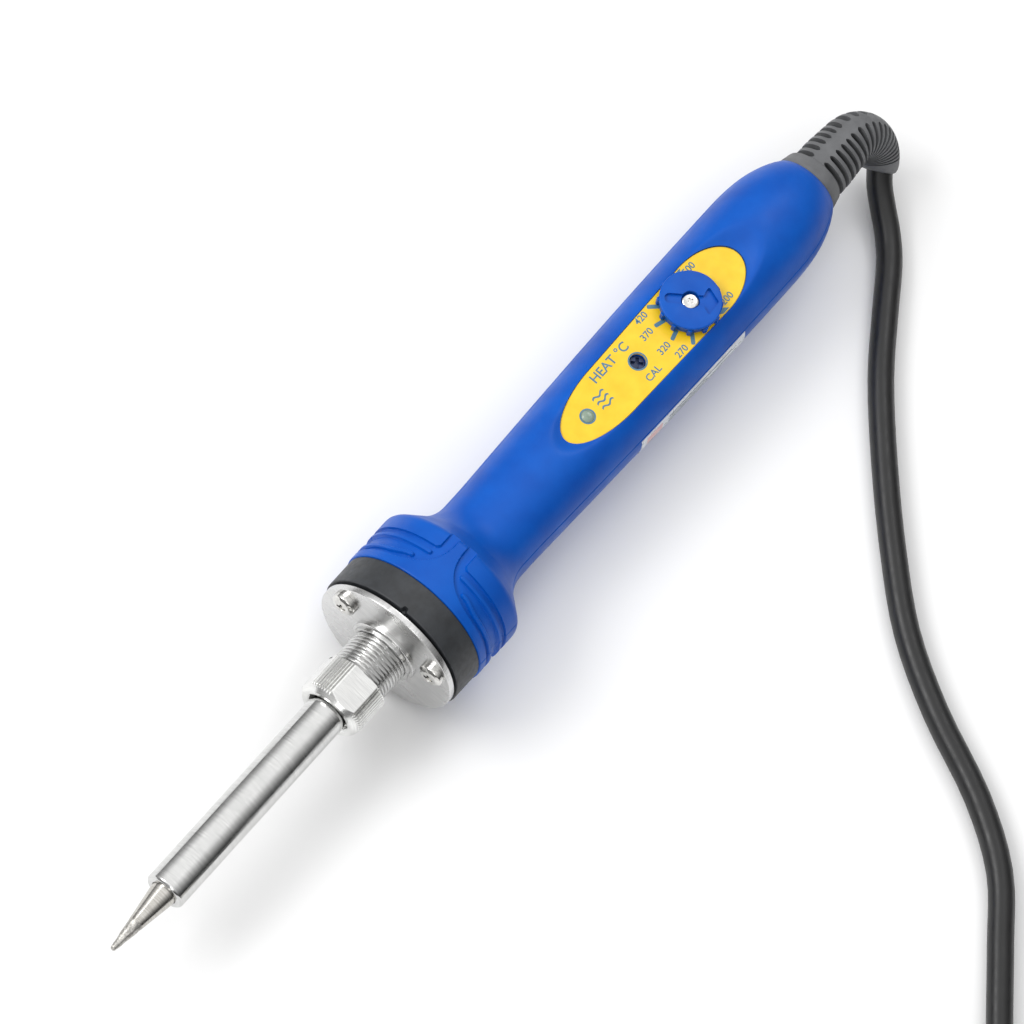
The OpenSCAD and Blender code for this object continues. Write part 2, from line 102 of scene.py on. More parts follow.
# ---- materials ----
MATERIALS = {}


class Surface:
    """A procedural material: a Principled shader and short calls for the nodes around it."""

    def __init__(self, name, **sockets):
        MATERIALS[name] = made = bpy.data.materials.new(name)
        made.use_nodes = True
        self.tree = made.node_tree
        self.shader = self.tree.nodes["Principled BSDF"]
        self.place = self.node("ShaderNodeTexCoord").outputs["Object"]
        for key, value in sockets.items():
            self.shader.inputs[key.replace("_", " ")].default_value = value

    def node(self, kind, links=(), **settings):
        """A new node with its settings, and its inputs linked to sockets or set to values."""
        made = self.tree.nodes.new(kind)
        for key, value in settings.items():
            setattr(made, key, value)
        for socket, value in dict(links).items():
            if isinstance(value, bpy.types.NodeSocket):
                self.tree.links.new(value, made.inputs[socket])
            else:
                made.inputs[socket].default_value = value
        return made

    def noise(self, scale, detail=3.0, stretch=(1, 1, 1), roughness=0.5):
        """Noise with features about 1/scale metres wide, drawn out along an axis by a small stretch."""
        place = self.node("ShaderNodeMapping", {"Vector": self.place, "Scale": stretch})
        links = {"Vector": place.outputs["Vector"], "Scale": scale, "Detail": detail, "Roughness": roughness}
        return self.node("ShaderNodeTexNoise", links).outputs["Fac"]

    def ranged(self, source, low, high, start=0.3, end=0.7):
        """Maps start..end of a value to low..high."""
        links = {"Value": source, "From Min": start, "From Max": end, "To Min": low, "To Max": high}
        return self.node("ShaderNodeMapRange", links).outputs["Result"]

    def blend(self, fac, first, second):
        """Mixes two colours: a Mix node's colour sockets are 6 and 7, and its colour output is 2."""
        return self.node("ShaderNodeMix", {0: fac, 6: first, 7: second}, data_type="RGBA").outputs[2]

    def colour(self, value):
        self.tree.links.new(value, self.shader.inputs["Base Color"])
        return self

    def rough(self, value):
        self.tree.links.new(value, self.shader.inputs["Roughness"])
        return self

    def bump(self, height, distance, strength=1.0):
        """Adds relief `distance` metres deep."""
        links = {"Height": height, "Distance": distance, "Strength": strength}
        before = self.shader.inputs["Normal"].links
        if before:
            links["Normal"] = before[0].from_socket
        made = self.node("ShaderNodeBump", links)
        self.tree.links.new(made.outputs["Normal"], self.shader.inputs["Normal"])
        return self


def rgb(code):
    """Linear colour of a #rrggbb code."""
    parts = [int(code[i:i + 2], 16) / 255 for i in (1, 3, 5)]
    return tuple(c / 12.92 if c <= 0.04045 else ((c + 0.055) / 1.055) ** 2.4 for c in parts) + (1,)


def grained(name, dark, light, rough=(0.4, 0.55), grain=2200, depth=2e-5, patch=220, metallic=0.0, **sockets):
    """Moulded or painted stuff: soft patches of two shades, uneven gloss and a fine grain."""
    s = Surface(name, Metallic=metallic, **sockets)
    soft = s.noise(patch, 4)
    s.colour(s.blend(s.ranged(soft, 0, 1), rgb(dark), rgb(light)))
    s.rough(s.ranged(s.noise(patch * 2.3, 5), *rough))
    return s.bump(s.noise(grain, 2, roughness=0.6), depth)


def brushed(name, dark, light, rough=(0.15, 0.3), stretch=(30, 1, 1), scale=260, depth=3e-6, **sockets):
    """Bare metal with fine marks from turning or polishing, smeared patches and small scratches."""
    s = Surface(name, Metallic=1.0, **sockets)
    marks = s.noise(scale, 6, stretch, 0.65)
    smear = s.noise(150, 4)
    shade = s.blend(s.ranged(marks, 0, 1), rgb(dark), rgb(light))
    s.colour(s.blend(s.ranged(smear, 0, 0.35), shade, rgb(dark)))
    s.rough(s.ranged(smear, *rough))
    return s.bump(marks, depth)


SOFT_SHEEN = {"Specular_IOR_Level": 0.22}
grained("blue_plastic", "#004AAA", "#0158BC", (0.34, 0.46), 2600, 2.2e-5, 90, **SOFT_SHEEN)
grained("knob_plastic", "#004AAA", "#0158BC", (0.3, 0.42), 3200, 1.2e-5, 120, **SOFT_SHEEN)
brushed("sleeve_steel", "#BCBCBB", "#E8E8E7", (0.1, 0.24), (60, 1, 1), 120)
brushed("nut_chrome", "#D8D8D7", "#FAFAF8", (0.18, 0.28), (40, 1, 1), 150, 2e-6)
brushed("nipple_steel", "#B4B4B3", "#E2E2E1", (0.16, 0.3), (20, 1, 1), 260)
brushed("flange_steel", "#BFBFBF", "#E6E6E5", (0.22, 0.36), (1, 1, 30), 220)
brushed("screw_steel", "#BDBCB9", "#F0EFEC", (0.1, 0.2), (1, 1, 1), 900, 4e-6)
brushed("tag_brass", "#A9822F", "#D9B457", (0.2, 0.35))
brushed("pin_brass", "#B08A3C", "#E2C271", (0.14, 0.26), (1, 30, 30), 200)
grained("black_phenolic", "#26282B", "#323539", (0.42, 0.56), 1500, 2.5e-5, 350)
grained("alumina", "#D8D4C8", "#F0EDE4", (0.5, 0.7), 1800, 1.5e-5)
grained("lead_insulation", "#A5301F", "#C4402B", (0.35, 0.5), 1500, 8e-6)
grained("label_print", "#EEC003", "#F5CC1A", (0.3, 0.42), 1300, 4e-6, 300)
grained("label_ink", "#42708A", "#567F96", (0.35, 0.5), 1800, 3e-6, 500)
grained("foil_ink", "#7C838C", "#979EA6", (0.35, 0.5), 1800, 3e-6, 500)
grained("foil_pink", "#D9A9AC", "#E6BFC0", (0.35, 0.5), 1800, 3e-6, 500)
grained("label_foil", "#C9CDD4", "#E3E6EA", (0.24, 0.36), 900, 4e-6, 260, 0.35)
grained("lamp_plastic", "#94AB98", "#AABFAD", (0.12, 0.2), 900, 4e-6, 400,
        Transmission_Weight=0.35)
grained("red_led", "#A8201C", "#CF332C", (0.15, 0.25), 900, 3e-6)
brushed("pot_steel", "#A9A8A5", "#D3D2CF", (0.2, 0.35))
grained("pot_case", "#22352F", "#31463F", (0.4, 0.55), 1500, 1e-5)
grained("trimmer_blue", "#16284F", "#1E3565", (0.3, 0.42), 1800, 1e-5)
grained("trimmer_white", "#3D6E9E", "#4C7FB0", (0.35, 0.5), 1800, 1e-5)
grained("circuit_board", "#0E4A26", "#17663A", (0.3, 0.45), 900, 6e-6, 600)
grained("chip_black", "#15161A", "#24262B", (0.45, 0.6), 1900, 8e-6)
grained("capacitor_sleeve", "#23264F", "#30346A", (0.25, 0.35), 900, 4e-6)
grained("film_orange", "#C96A1B", "#DE8130", (0.25, 0.4), 1200, 6e-6)
grained("grey_rubber", "#5B5C5E", "#6B6C6E", (0.5, 0.66), 1700, 2.5e-5, 260)
grained("cord_jacket", "#0D0D0E", "#161617", (0.34, 0.46), 1500, 1.2e-5, 160)
grained("clamp_plastic", "#A3A7AC", "#B7BABF", (0.4, 0.55), 1500, 1e-5)
grained("plug_rubber", "#1D1E21", "#2E2F33", (0.42, 0.58), 1700, 2.5e-5, 200)
grained("tie_plastic", "#E2E0DA", "#F2F0EB", (0.35, 0.5), 1500, 8e-6)

# glass sleeving is a fine braid; the earth wire is green with yellow stripes; resistors carry bands
sleeving = grained("sleeving", "#CFC6A9", "#E3DCC4", (0.6, 0.8), 1500, 1e-5)
braid = sleeving.node("ShaderNodeTexWave", {"Vector": sleeving.place, "Scale": 900.0, "Distortion": 1.5})
sleeving.bump(braid.outputs["Fac"], 4e-5)
earth_insulation = grained("earth_insulation", "#1F7A33", "#2C8E40", (0.35, 0.5), 1500, 8e-6)
stripe = earth_insulation.node("ShaderNodeTexWave", {"Vector": earth_insulation.place, "Scale": 120.0})
stripe_edge = earth_insulation.ranged(stripe.outputs["Fac"], 0, 1, 0.6, 0.66)
earth_insulation.colour(earth_insulation.blend(stripe_edge, rgb("#26843A"), rgb("#D9C63A")))
resistor_body = grained("resistor_body", "#B79C72", "#CDB48C", (0.35, 0.5), 1500, 8e-6)
band = resistor_body.node("ShaderNodeTexWave", {"Vector": resistor_body.place, "Scale": 110.0})
band_edge = resistor_body.ranged(band.outputs["Fac"], 0, 1, 0.72, 0.78)
resistor_body.colour(resistor_body.blend(band_edge, rgb("#C2A77E"), rgb("#7A2F22")))

# the end of the tip wears a rough coat of solder, and the cone behind it is plated
tip_plating = brushed("tip_plating", "#A9A6A0", "#DAD8D3", (0.18, 0.3), (40, 1, 1), 160)
TINNED_TO = at(8.2).x
along = tip_plating.node("ShaderNodeSeparateXYZ", {"Vector": tip_plating.place}).outputs["X"]
ragged = tip_plating.node(
    "ShaderNodeMath", {0: tip_plating.noise(900, 3), 1: 0.0016, 2: along}, operation="MULTIPLY_ADD")
tinned = tip_plating.ranged(ragged.outputs["Value"], 1, 0, TINNED_TO + 0.0007, TINNED_TO + 0.0011)
pitted = tip_plating.noise(2600, 4)
solder = tip_plating.blend(tip_plating.ranged(pitted, 0, 1), rgb("#8E8C88"), rgb("#CFCDC8"))
plating = tip_plating.shader.inputs["Base Color"].links[0].from_socket
tip_plating.colour(tip_plating.blend(tinned, plating, solder))
duller = tip_plating.node("ShaderNodeMath", {0: tinned, 1: 0.2, 2: 0.2}, operation="MULTIPLY_ADD")
tip_plating.rough(duller.outputs[0])
coat = tip_plating.node("ShaderNodeMath", {0: tinned, 1: pitted}, operation="MULTIPLY")
tip_plating.bump(coat.outputs[0], 6e-5)


# ---- shapes ----
def in_frame(points):
    """The iron's millimetres as metres in the shared frame."""
    return np.asarray(points, float) * MM + np.array((TIP_END, 0.0, AXIS_Z))


def linked(name, points, faces):
    """A mesh object in the scene, from points in metres."""
    mesh = bpy.data.meshes.new(name)
    mesh.from_pydata(points.tolist(), [], faces)
    return added(name, mesh)


def piece(name, points, faces, surface, body="handle", slot=None, replaces=(), sharp=35, frame_points=False):
    """Makes one mesh piece from points in the iron's millimetres, and puts it on its body.
    Its one material slot holds its surface; the slot argument is not used."""
    made = linked(name, points if frame_points else in_frame(points), faces)
    mesh = made.data
    mesh.validate()
    mesh.materials.append(MATERIALS[surface])
    mesh.shade_smooth()
    mesh.set_sharp_from_angle(angle=radians(sharp))
    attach(made, body)
    if replaces:
        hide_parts(*replaces)
    return made


def rounded(corners, steps=4):
    """Points along an outline whose corners [a, b, radius] are rounded where a radius is given."""
    out = []
    count = len(corners)
    for i, corner in enumerate(corners):
        here = np.array(corner[:2], float)
        if len(corner) < 3:
            out.append(here)
            continue
        back = np.array(corners[i - 1][:2], float) - here
        ahead = np.array(corners[(i + 1) % count][:2], float) - here
        back, ahead = back / np.linalg.norm(back), ahead / np.linalg.norm(ahead)
        half = acos(np.clip(back @ ahead, -1, 1)) / 2
        centre = here + (back + ahead) / np.linalg.norm(back + ahead) * corner[2] / sin(half)
        reach = corner[2] / tan(half)
        a, b = here + back * reach - centre, here + ahead * reach - centre
        total = pi - 2 * half
        for k in range(steps + 1):
            t = k / steps
            out.append(centre + (a * sin((1 - t) * total) + b * sin(t * total)) / sin(total))
    return np.array(out)


def grid_faces(columns, rows, ring=True):
    """Quads between columns of points, each a closed loop. They make a ring, or end in caps."""
    faces = []
    for c in range(columns if ring else columns - 1):
        n = (c + 1) % columns
        for r in range(rows):
            s = (r + 1) % rows
            faces.append((c * rows + r, c * rows + s, n * rows + s, n * rows + r))
    if not ring:
        faces.append(tuple(range(rows))[::-1])
        faces.append(tuple((columns - 1) * rows + r for r in range(rows)))
    return faces


def turned(loop, columns=96, shape=None):
    """Points and faces of a closed outline of (x, r) turned about the iron's axis.
    shape(x, r, degrees) may change the radius; degrees count from +Z toward -Y."""
    loop = np.asarray(loop, float)
    points = []
    for c in range(columns):
        degrees = 360 * c / columns
        angle = radians(degrees)
        r = loop[:, 1] if shape is None else shape(loop[:, 0], loop[:, 1], degrees)
        points.append(np.column_stack((loop[:, 0], -r * sin(angle), r * cos(angle))))
    return np.vstack(points), grid_faces(columns, len(loop))


def upright(points, x=0.0, y=0.0):
    """Turns points made about the iron's axis so their axis stands along +Z at x, y."""
    p = np.asarray(points, float)
    return np.column_stack((x + p[:, 2], y + p[:, 1], p[:, 0]))


def dense(loop, step):
    """Adds points to a closed outline so none of its sides is longer than step."""
    out = []
    for a, b in zip(loop, np.roll(loop, -1, axis=0)):
        count = max(1, int(np.linalg.norm(b - a) / step))
        out += [a + (b - a) * k / count for k in range(count)]
    return np.array(out)


def joined(parts):
    """Several (points, faces) as one."""
    points, faces, base = [], [], 0
    for p, f in parts:
        points.append(np.asarray(p, float))
        faces += [tuple(i + base for i in face) for face in f]
        base += len(p)
    return np.vstack(points), faces


def prism(outline, z0, z1, edge=0.0):
    """A flat outline of (x, y) points raised from z0 to z1, with a small chamfer on its top edge."""
    outline = np.asarray(outline, float)
    n = len(outline)
    layers = [(outline, z0), (outline, z1 - edge)]
    if edge:
        after = np.roll(outline, -1, 0) - outline
        before = outline - np.roll(outline, 1, 0)
        normal = np.column_stack((after[:, 1] + before[:, 1], -after[:, 0] - before[:, 0]))
        normal /= np.maximum(np.linalg.norm(normal, axis=1, keepdims=True), 1e-9)
        layers.append((outline - normal * edge, z1))
    points = np.vstack([np.column_stack((o, np.full(n, z))) for o, z in layers])
    faces = [tuple(range(n))[::-1], tuple((len(layers) - 1) * n + i for i in range(n))]
    for level in range(len(layers) - 1):
        base = level * n
        faces += [(base + i, base + (i + 1) % n, base + n + (i + 1) % n, base + n + i) for i in range(n)]
    return points, faces


def arc(cx, cy, rx, ry, start, end, steps):
    """Points of an ellipse's arc, between two directions in degrees."""
    return [(cx + rx * cos(radians(a)), cy + ry * sin(radians(a)))
            for a in np.linspace(start, end, steps)]


def worked_out(made):
    """The mesh that an object's modifiers, or its text, come to."""
    bpy.context.view_layer.update()
    return bpy.data.meshes.new_from_object(made.evaluated_get(bpy.context.evaluated_depsgraph_get()))


def cut(made, cutters):
    """Takes cutters, each (points, faces) in the iron's millimetres, away from a piece."""
    tools = [linked("cutter", in_frame(points), faces) for points, faces in cutters]
    for tool in tools:
        step = made.modifiers.new("cut", "BOOLEAN")
        step.operation = "DIFFERENCE"
        step.solver = "EXACT"
        step.object = tool
    mesh = worked_out(made)
    made.modifiers.clear()
    made.data = mesh
    for tool in tools:
        bpy.data.objects.remove(tool)
    mesh.set_sharp_from_angle(angle=radians(30))
    return made


def cylinder(x, y, z0, z1, r, sides=48):
    """An upright cylinder."""
    return prism(arc(x, y, r, r, 0, 360 - 360 / sides, sides), z0, z1)


def smooth(t):
    """Eases from 0 to 1."""
    t = np.clip(t, 0, 1)
    return t * t * (3 - 2 * t)


def tube(path, radii, sides=32):
    """A closed round tube along points, without twist."""
    path = np.asarray(path, float)
    tangents = np.gradient(path, axis=0)
    tangents /= np.linalg.norm(tangents, axis=1, keepdims=True)
    side = np.cross(tangents[0], (0.0, 0.0, 1.0))
    points = []
    angles = np.linspace(0, 2 * pi, sides, endpoint=False)
    for p, t, r in zip(path, tangents, np.broadcast_to(radii, len(path))):
        side = side - t * (side @ t)
        side /= np.linalg.norm(side)
        other = np.cross(t, side)
        points.append(p + r * (np.outer(np.cos(angles), side) + np.outer(np.sin(angles), other)))
    return np.vstack(points), grid_faces(len(path), sides, ring=False)


def spline(points, steps):
    """A smooth curve through points."""
    p = [np.array(q, float) for q in points]
    out = []
    for i in range(len(p) - 1):
        a, b, c, d = p[max(i - 1, 0)], p[i], p[i + 1], p[min(i + 2, len(p) - 1)]
        for k in range(steps):
            t = k / steps
            out.append(0.5 * (2 * b + (c - a) * t + (2 * a - 5 * b + 4 * c - d) * t * t
                              + (3 * b - a - 3 * c + d) * t ** 3))
    return out + [p[-1]]


# ---- mains cord: route on the bench, coil and tail, in the frame's millimetres ----
ROUTE = [
    (148.13, -8.45, 9.33), (145.2, -11.3, 6.8), (142.1, -15.3, 4.8), (138.3, -19.9, 3.6),
    (132.5, -25, 3.15), (122, -31.9, 3.15), (108, -41.5, 3.15), (92, -55, 3.15), (76, -70, 3.15),
    (62, -85, 3.15), (51, -102, 3.15), (41, -122, 3.15), (30, -137, 3.15),
    (16, -148, 3.15), (0, -160, 3.15), (-16, -172.5, 3.15), (-32, -185, 3.15)]
COIL_AT = (-71.4, -167.6)
COIL_START = -51.4          # direction from the coil's centre where the cord arrives on it
COIL_INNER = 32.0
COIL_OUTER = COIL_INNER + 2 * CORD_R
COIL_STEP = 12              # degrees between the coil's points
COIL_ANGLE = 4 * 360 + 38.6
# how far round each move to the next place starts, and the radius and height it moves to
COIL_MOVES = [(290, COIL_INNER, 1), (624, COIL_INNER, 3), (958, COIL_OUTER, 3), (1292, COIL_OUTER, 5)]
MOVE_ANGLE = 70
TAIL = [(-80, -205.9, 15.6), (-88, -205.9, 14.5), (-94, -205.9, 13.1), (-98, -205.9, 12.3), (-104, -205.9, 12)]


def coil_point(wound):
    """The cord's place on the coil after it has gone round by so many degrees."""
    r, level = COIL_OUTER, 1.0
    for start, to_r, to_level in COIL_MOVES:
        t = smooth((wound - start) / MOVE_ANGLE)
        r += (to_r - r) * t
        level += (to_level - level) * t
    angle = radians(COIL_START - wound)
    return COIL_AT[0] + r * cos(angle), COIL_AT[1] + r * sin(angle), level * CORD_R


coil_angles = np.linspace(0, COIL_ANGLE, int(COIL_ANGLE / COIL_STEP) + 1)
coil_path = [coil_point(w) for w in coil_angles]
SPLINE_STEPS = 4
cord_path = (spline(ROUTE + [coil_path[0]], SPLINE_STEPS)[:-1] + coil_path
             + spline([coil_path[-1]] + TAIL, SPLINE_STEPS)[1:])
cord_path = [(x, y, max(z, CORD_R)) for x, y, z in cord_path]
curve = bpy.data.curves.new("mains_cord", "CURVE")
curve.dimensions = "3D"
line = curve.splines.new("POLY")
line.points.add(len(cord_path) - 1)
for point, place in zip(line.points, cord_path):
    point.co = (*(float(v) * MM for v in place), 1)
curve.bevel_depth = CORD_R * MM
curve.bevel_resolution = 6
curve.use_fill_caps = True
curve.materials.append(MATERIALS["cord_jacket"])
mains_cord = added("mains_cord", curve)
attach(mains_cord, "handle")
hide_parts("cord_run", "cord_coil", "cord_tail")

# the unseen length is wound into a coil and held by a flat tie
TIE_HALF, TIE_T = 2.6, 0.5
tie_corners = [(28.5, 0.4, 2.6), (41.8, 0.4, 2.6), (41.8, 19.1, 2.6), (35.2, 19.1, 2.4), (28.5, 12.8, 2.4)]
tie_inner = rounded(tie_corners, 6)
tie_normal = np.roll(tie_inner, -1, 0) - np.roll(tie_inner, 1, 0)
tie_normal = np.column_stack((tie_normal[:, 1], -tie_normal[:, 0]))
tie_normal /= np.linalg.norm(tie_normal, axis=1, keepdims=True)
tie_outer = tie_inner + TIE_T * tie_normal
tie_outer[:, 1] = np.maximum(tie_outer[:, 1], 0.1)
tie_points = []
for inner, outer in zip(tie_inner, tie_outer):
    for (r, z), side in ((inner, -1), (inner, 1), (outer, 1), (outer, -1)):
        tie_points.append((COIL_AT[0] + side * TIE_HALF, COIL_AT[1] + r, z))
tie = piece("coil_tie", np.array(tie_points) * MM, grid_faces(len(tie_inner), 4), "tie_plastic",
            slot="", frame_points=True)

# plug: a moulded body with a gripping waist, and a ribbed relief cone on the cord
PLUG = (-119.0, -205.9, 12.0)
PLUG_L = 34.0
RELIEF_L, RELIEF_R, RELIEF_ROWS = 22.0, 7, 67
GROOVE_PITCH, GROOVE_DEPTH = 2.4, 0.45


def rounded_section(x, half_w, half_h, r, steps=8):
    """The plug's cross-section at x behind its face."""
    corners = [(half_w, half_h, r), (-half_w, half_h, r), (-half_w, -half_h, r), (half_w, -half_h, r)]
    return [(PLUG[0] - x, PLUG[1] + a, PLUG[2] + b) for a, b in rounded(corners, steps)]


# each row: place along the plug, half width, half height and corner radius
plug_rows = [(0, 7.4, 7.2, 6), (0.5, 8.6, 8.2, 6), (1.6, 10.2, 9.4, 6), (4, 11.8, 10.7, 6), (7.5, 12.3, 11.2, 6),
             (8.4, 12.3, 11.2, 6)]
for k in range(5):
    x = 9.0 + 2.2 * k
    plug_rows += [(x, 11.9, 10.8, 5.8), (x + 0.5, 11.6, 10.5, 5.8), (x + 1.1, 11.9, 10.8, 5.8),
                  (x + 1.6, 12.2, 11.1, 5.8)]
plug_rows += [(21, 12.4, 11.4, 5.6), (24, 12.9, 11.9, 5.4), (27, 13, 12, 5.2), (PLUG_L - 1, 13, 12, 5.2),
              (PLUG_L - 0.3, 12.8, 11.8, 5.0), (PLUG_L, 12.4, 11.4, 4.8)]
plug_points = np.vstack([rounded_section(*row) for row in plug_rows])
plug_faces = grid_faces(len(plug_rows), len(plug_points) // len(plug_rows), ring=False)
relief_x = np.linspace(0, RELIEF_L, RELIEF_ROWS)
relief_r = RELIEF_R + (CORD_R + 0.9 - RELIEF_R) * relief_x / RELIEF_L
groove = smooth(2 * np.abs((relief_x / GROOVE_PITCH) % 1 - 0.5) * 1.8 - 0.6)
relief_r -= GROOVE_DEPTH * groove * (relief_x > 2) * (relief_x < RELIEF_L - 1.5)
relief_path = np.column_stack((PLUG[0] - 1 + relief_x, *(np.full(RELIEF_ROWS, v) for v in PLUG[1:])))
plug_points, plug_faces = joined([(plug_points, plug_faces), tube(relief_path, relief_r)])
plug = piece("plug_moulding", plug_points * MM, plug_faces, "plug_rubber", replaces=["plug_body"],
             frame_points=True)

# ---- front end: tip, sleeve, nut, nipple, flange and screws ----
BORE_R = 2.02
tip_outline = rounded([(0, 0.05), (0, 0.42, 0.12), (0.3, 0.66, 0.2), (17.8, 3.25, 1.2), (20, 3.25), (20.2, 3.9, 0.1),
                       (24, 3.9, 0.3), (24, 3.25), (46, 3.25), (46, BORE_R), (25.8, BORE_R), (25.8, 0.05)])
tip_outline = dense(tip_outline, 0.12)


def rough_tip(x, r, degrees):
    """The solder on the tip's end stands up in low lumps."""
    c, s = cos(radians(degrees)), sin(radians(degrees))
    lumps = np.array([noise.noise(Vector((a * 0.55, b * c * 1.3, b * s * 1.3))) if 0 < a < 9 and b > 0.2 else 0
                      for a, b in zip(x, r)])
    return r + 0.11 * lumps * smooth((8.6 - x) / 1.2) * smooth(x / 0.6)


piece("tip_bit", *turned(tip_outline, 72, rough_tip), "tip_plating", "sleeve", None, ["soldering_tip"], 40)

sleeve_outline = rounded([
    (SLEEVE_X0, 3.35), (SLEEVE_X0, 4.55, 0.3), (SLEEVE_X0 + 0.5, 5, 0.6), (75.3, 5), (75.3, 4.75), (78.9, 4.75),
    (78.9, 6.9, 0.1), (SLEEVE_X1, 6.9, 0.1), (SLEEVE_X1, 4.4), (20, 4.4), (19.9, 3.35, 0.1)])
piece("sleeve_tube", *turned(sleeve_outline, 128), "sleeve_steel", "sleeve", None, ["tip_sleeve"])

NUT_R = 8.5
FLAT_HALF = 24              # degrees from a flat's middle to its edge
NUT_FLAT = NUT_R * cos(radians(FLAT_HALF))
NUT_FACE_R = 7.05
CHAMFER_L = 1.7
RIDGE_DEPTH = 0.6
FLAT_AT = 16.0              # direction of the first flat, from +Z toward -Y
RIDGE = 5.25                # degrees between the corner's ridges
nut_outline = dense(rounded([
    (NUT_X0, 6, 0.1), (NUT_X0, NUT_FACE_R, 0.12), (NUT_X0 + CHAMFER_L, NUT_R), (NUT_X1 - 0.2, NUT_R), (NUT_X1, 8.3),
    (NUT_X1, 7.3), (78.8, 7.3), (78.8, 5.45), (NUT_X0 + 0.5, 5.45, 0.1)]), 0.14)


def nut_shape(x, r, degrees):
    """Four flats with ridged corners between them; the front chamfer cuts across both."""
    off = (degrees - FLAT_AT + 45) % 90 - 45
    if abs(off) < FLAT_HALF:
        limit = NUT_FLAT / cos(radians(off))
    else:
        ridge = cos(radians((abs(off) - 45) / RIDGE * 360)) * 0.5 + 0.5
        groove = RIDGE_DEPTH * float(np.clip((0.65 - ridge) / 0.35, 0, 1))
        limit = NUT_R - groove * float(smooth((abs(off) - FLAT_HALF) / 1.2))
    cone = NUT_FACE_R + (x - NUT_X0) * (NUT_R - NUT_FACE_R) / CHAMFER_L
    outside = (r > 7.9) | ((x < NUT_X0 + CHAMFER_L) & (r > 7.0))
    return np.where(outside, np.minimum(np.minimum(cone, r + 0.1), limit), r)


piece("cap_nut", *turned(nut_outline, 480, nut_shape), "nut_chrome", "nut", None, ["retaining_nut"], 22)

PITCH = 1.0
NIPPLE_X0, NIPPLE_X1 = span("threaded_nipple")
THREAD_X1, THREAD_R, THREAD_DEPTH = 94.9, 7.25, 0.55
thread_rows = [(x, THREAD_R) for x in np.arange(NIPPLE_X0, THREAD_X1 - 0.05, 0.08)]
nipple_outline = [(NIPPLE_X0, 4.6)] + thread_rows + [tuple(p) for p in rounded([
    (THREAD_X1, 6.7), (THREAD_X1, 7.9, 0.15), (THREAD_X1 + 0.9, 7.95), (THREAD_X1 + 1.0, 8.75, 0.35),
    (FLANGE_X0, 8.75), (FLANGE_X0, 6), (NIPPLE_X1, 6), (NIPPLE_X1, 4.6)])]
THREAD_FLAT_AT, THREAD_FLAT_R = 25.0, 6.87


def thread_shape(x, r, degrees):
    """A single-start thread, with a shallow flat filed along it and a rough rim behind it."""
    threaded = (r > 7.2) & (r < 7.3) & (x < THREAD_X1)
    phase = ((x - NIPPLE_X0) / PITCH - degrees / 360) % 1
    tooth = smooth(1.35 - 2.7 * np.abs(phase - 0.5))
    depth = np.minimum(THREAD_DEPTH, np.maximum(0, (THREAD_X1 - 0.2 - x) * 2))
    worn = THREAD_R - depth * (1 - tooth)
    off = (degrees - THREAD_FLAT_AT + 180) % 360 - 180
    if abs(off) < 40:
        worn = np.minimum(worn, THREAD_FLAT_R / cos(radians(off)))
    rim = (x > THREAD_X1) & (x < THREAD_X1 + 1) & (r > 7.5) & (r < 8.1)
    knurl = 0.06 * noise.noise(Vector((degrees * 0.9, 1.5, 0)))
    return np.where(threaded, worn, np.where(rim, r + knurl, r))


piece("nipple", *turned(nipple_outline, 180, thread_shape), "nipple_steel",
      replaces=["threaded_nipple"], sharp=40)

flange_outline = rounded([(FLANGE_X0, 6.05), (FLANGE_X0, FLANGE_R, 0.25), (FLANGE_X1, FLANGE_R, 0.12),
                          (FLANGE_X1, 6.05)])
piece("flange", *turned(flange_outline, 160), "flange_steel", replaces=["flange_plate"])

SCREW_CIRCLE = 14.7
SCREW_AT = (60, 180, 300)
CROSS_FACES = [(0, 3, 2, 1), (4, 5, 6, 7), (0, 1, 5, 4), (1, 2, 6, 5), (2, 3, 7, 6), (3, 0, 4, 7)]


def pan_screw(head_r, head_h, shank_r, shank_l, cross_turn):
    """Points and faces of a domed screw about the x axis, and the points of the two arms of its cross."""
    loop = rounded([(-shank_l, 0.02), (-shank_l, shank_r), (0, shank_r), (0, head_r, 0.08),
                    (head_h * 0.62, head_r, 0.5), (head_h * 0.95, head_r * 0.72, 1.2), (head_h, 0.02)], 6)
    points, faces = turned(loop, 48)
    half, deep, taper = head_r * 0.5, head_h * 0.62, 0.55
    top, low = head_r * 0.13, head_r * 0.1
    ends = [(-half, -top, 1), (half, -top, 1), (half, top, 1), (-half, top, 1)]
    ends += [(-half * taper, -low, -deep), (half * taper, -low, -deep), (half * taper, low, -deep),
             (-half * taper, low, -deep)]
    arms = []
    for quarter in range(2):
        angle = radians(cross_turn + 90 * quarter)
        c, s = cos(angle), sin(angle)
        arms.append([(head_h + z, a * c - b * s, a * s + b * c) for a, b, z in ends])
    return points, [f[::-1] for f in faces], arms


def on_flange(points, degrees):
    """Puts a screw's points onto the flange's face, its head toward the tip."""
    p = np.asarray(points, float)
    a = radians(degrees)
    y, z = p[:, 1], p[:, 2] + SCREW_CIRCLE
    return np.column_stack((
        FLANGE_X0 - p[:, 0], -z * sin(a) + y * cos(a), z * cos(a) + y * sin(a)))


for number, (degrees, cross) in enumerate(zip(SCREW_AT, (20, 5, 50)), 1):
    points, faces, arms = pan_screw(3.1, 2.2, 1.5, 20, cross)
    screw = piece(f"flange_screw_{number}", on_flange(points, degrees), faces, "screw_steel",
                  replaces=["flange_screws"])
    cut(screw, [(on_flange(arm, degrees), CROSS_FACES) for arm in arms])

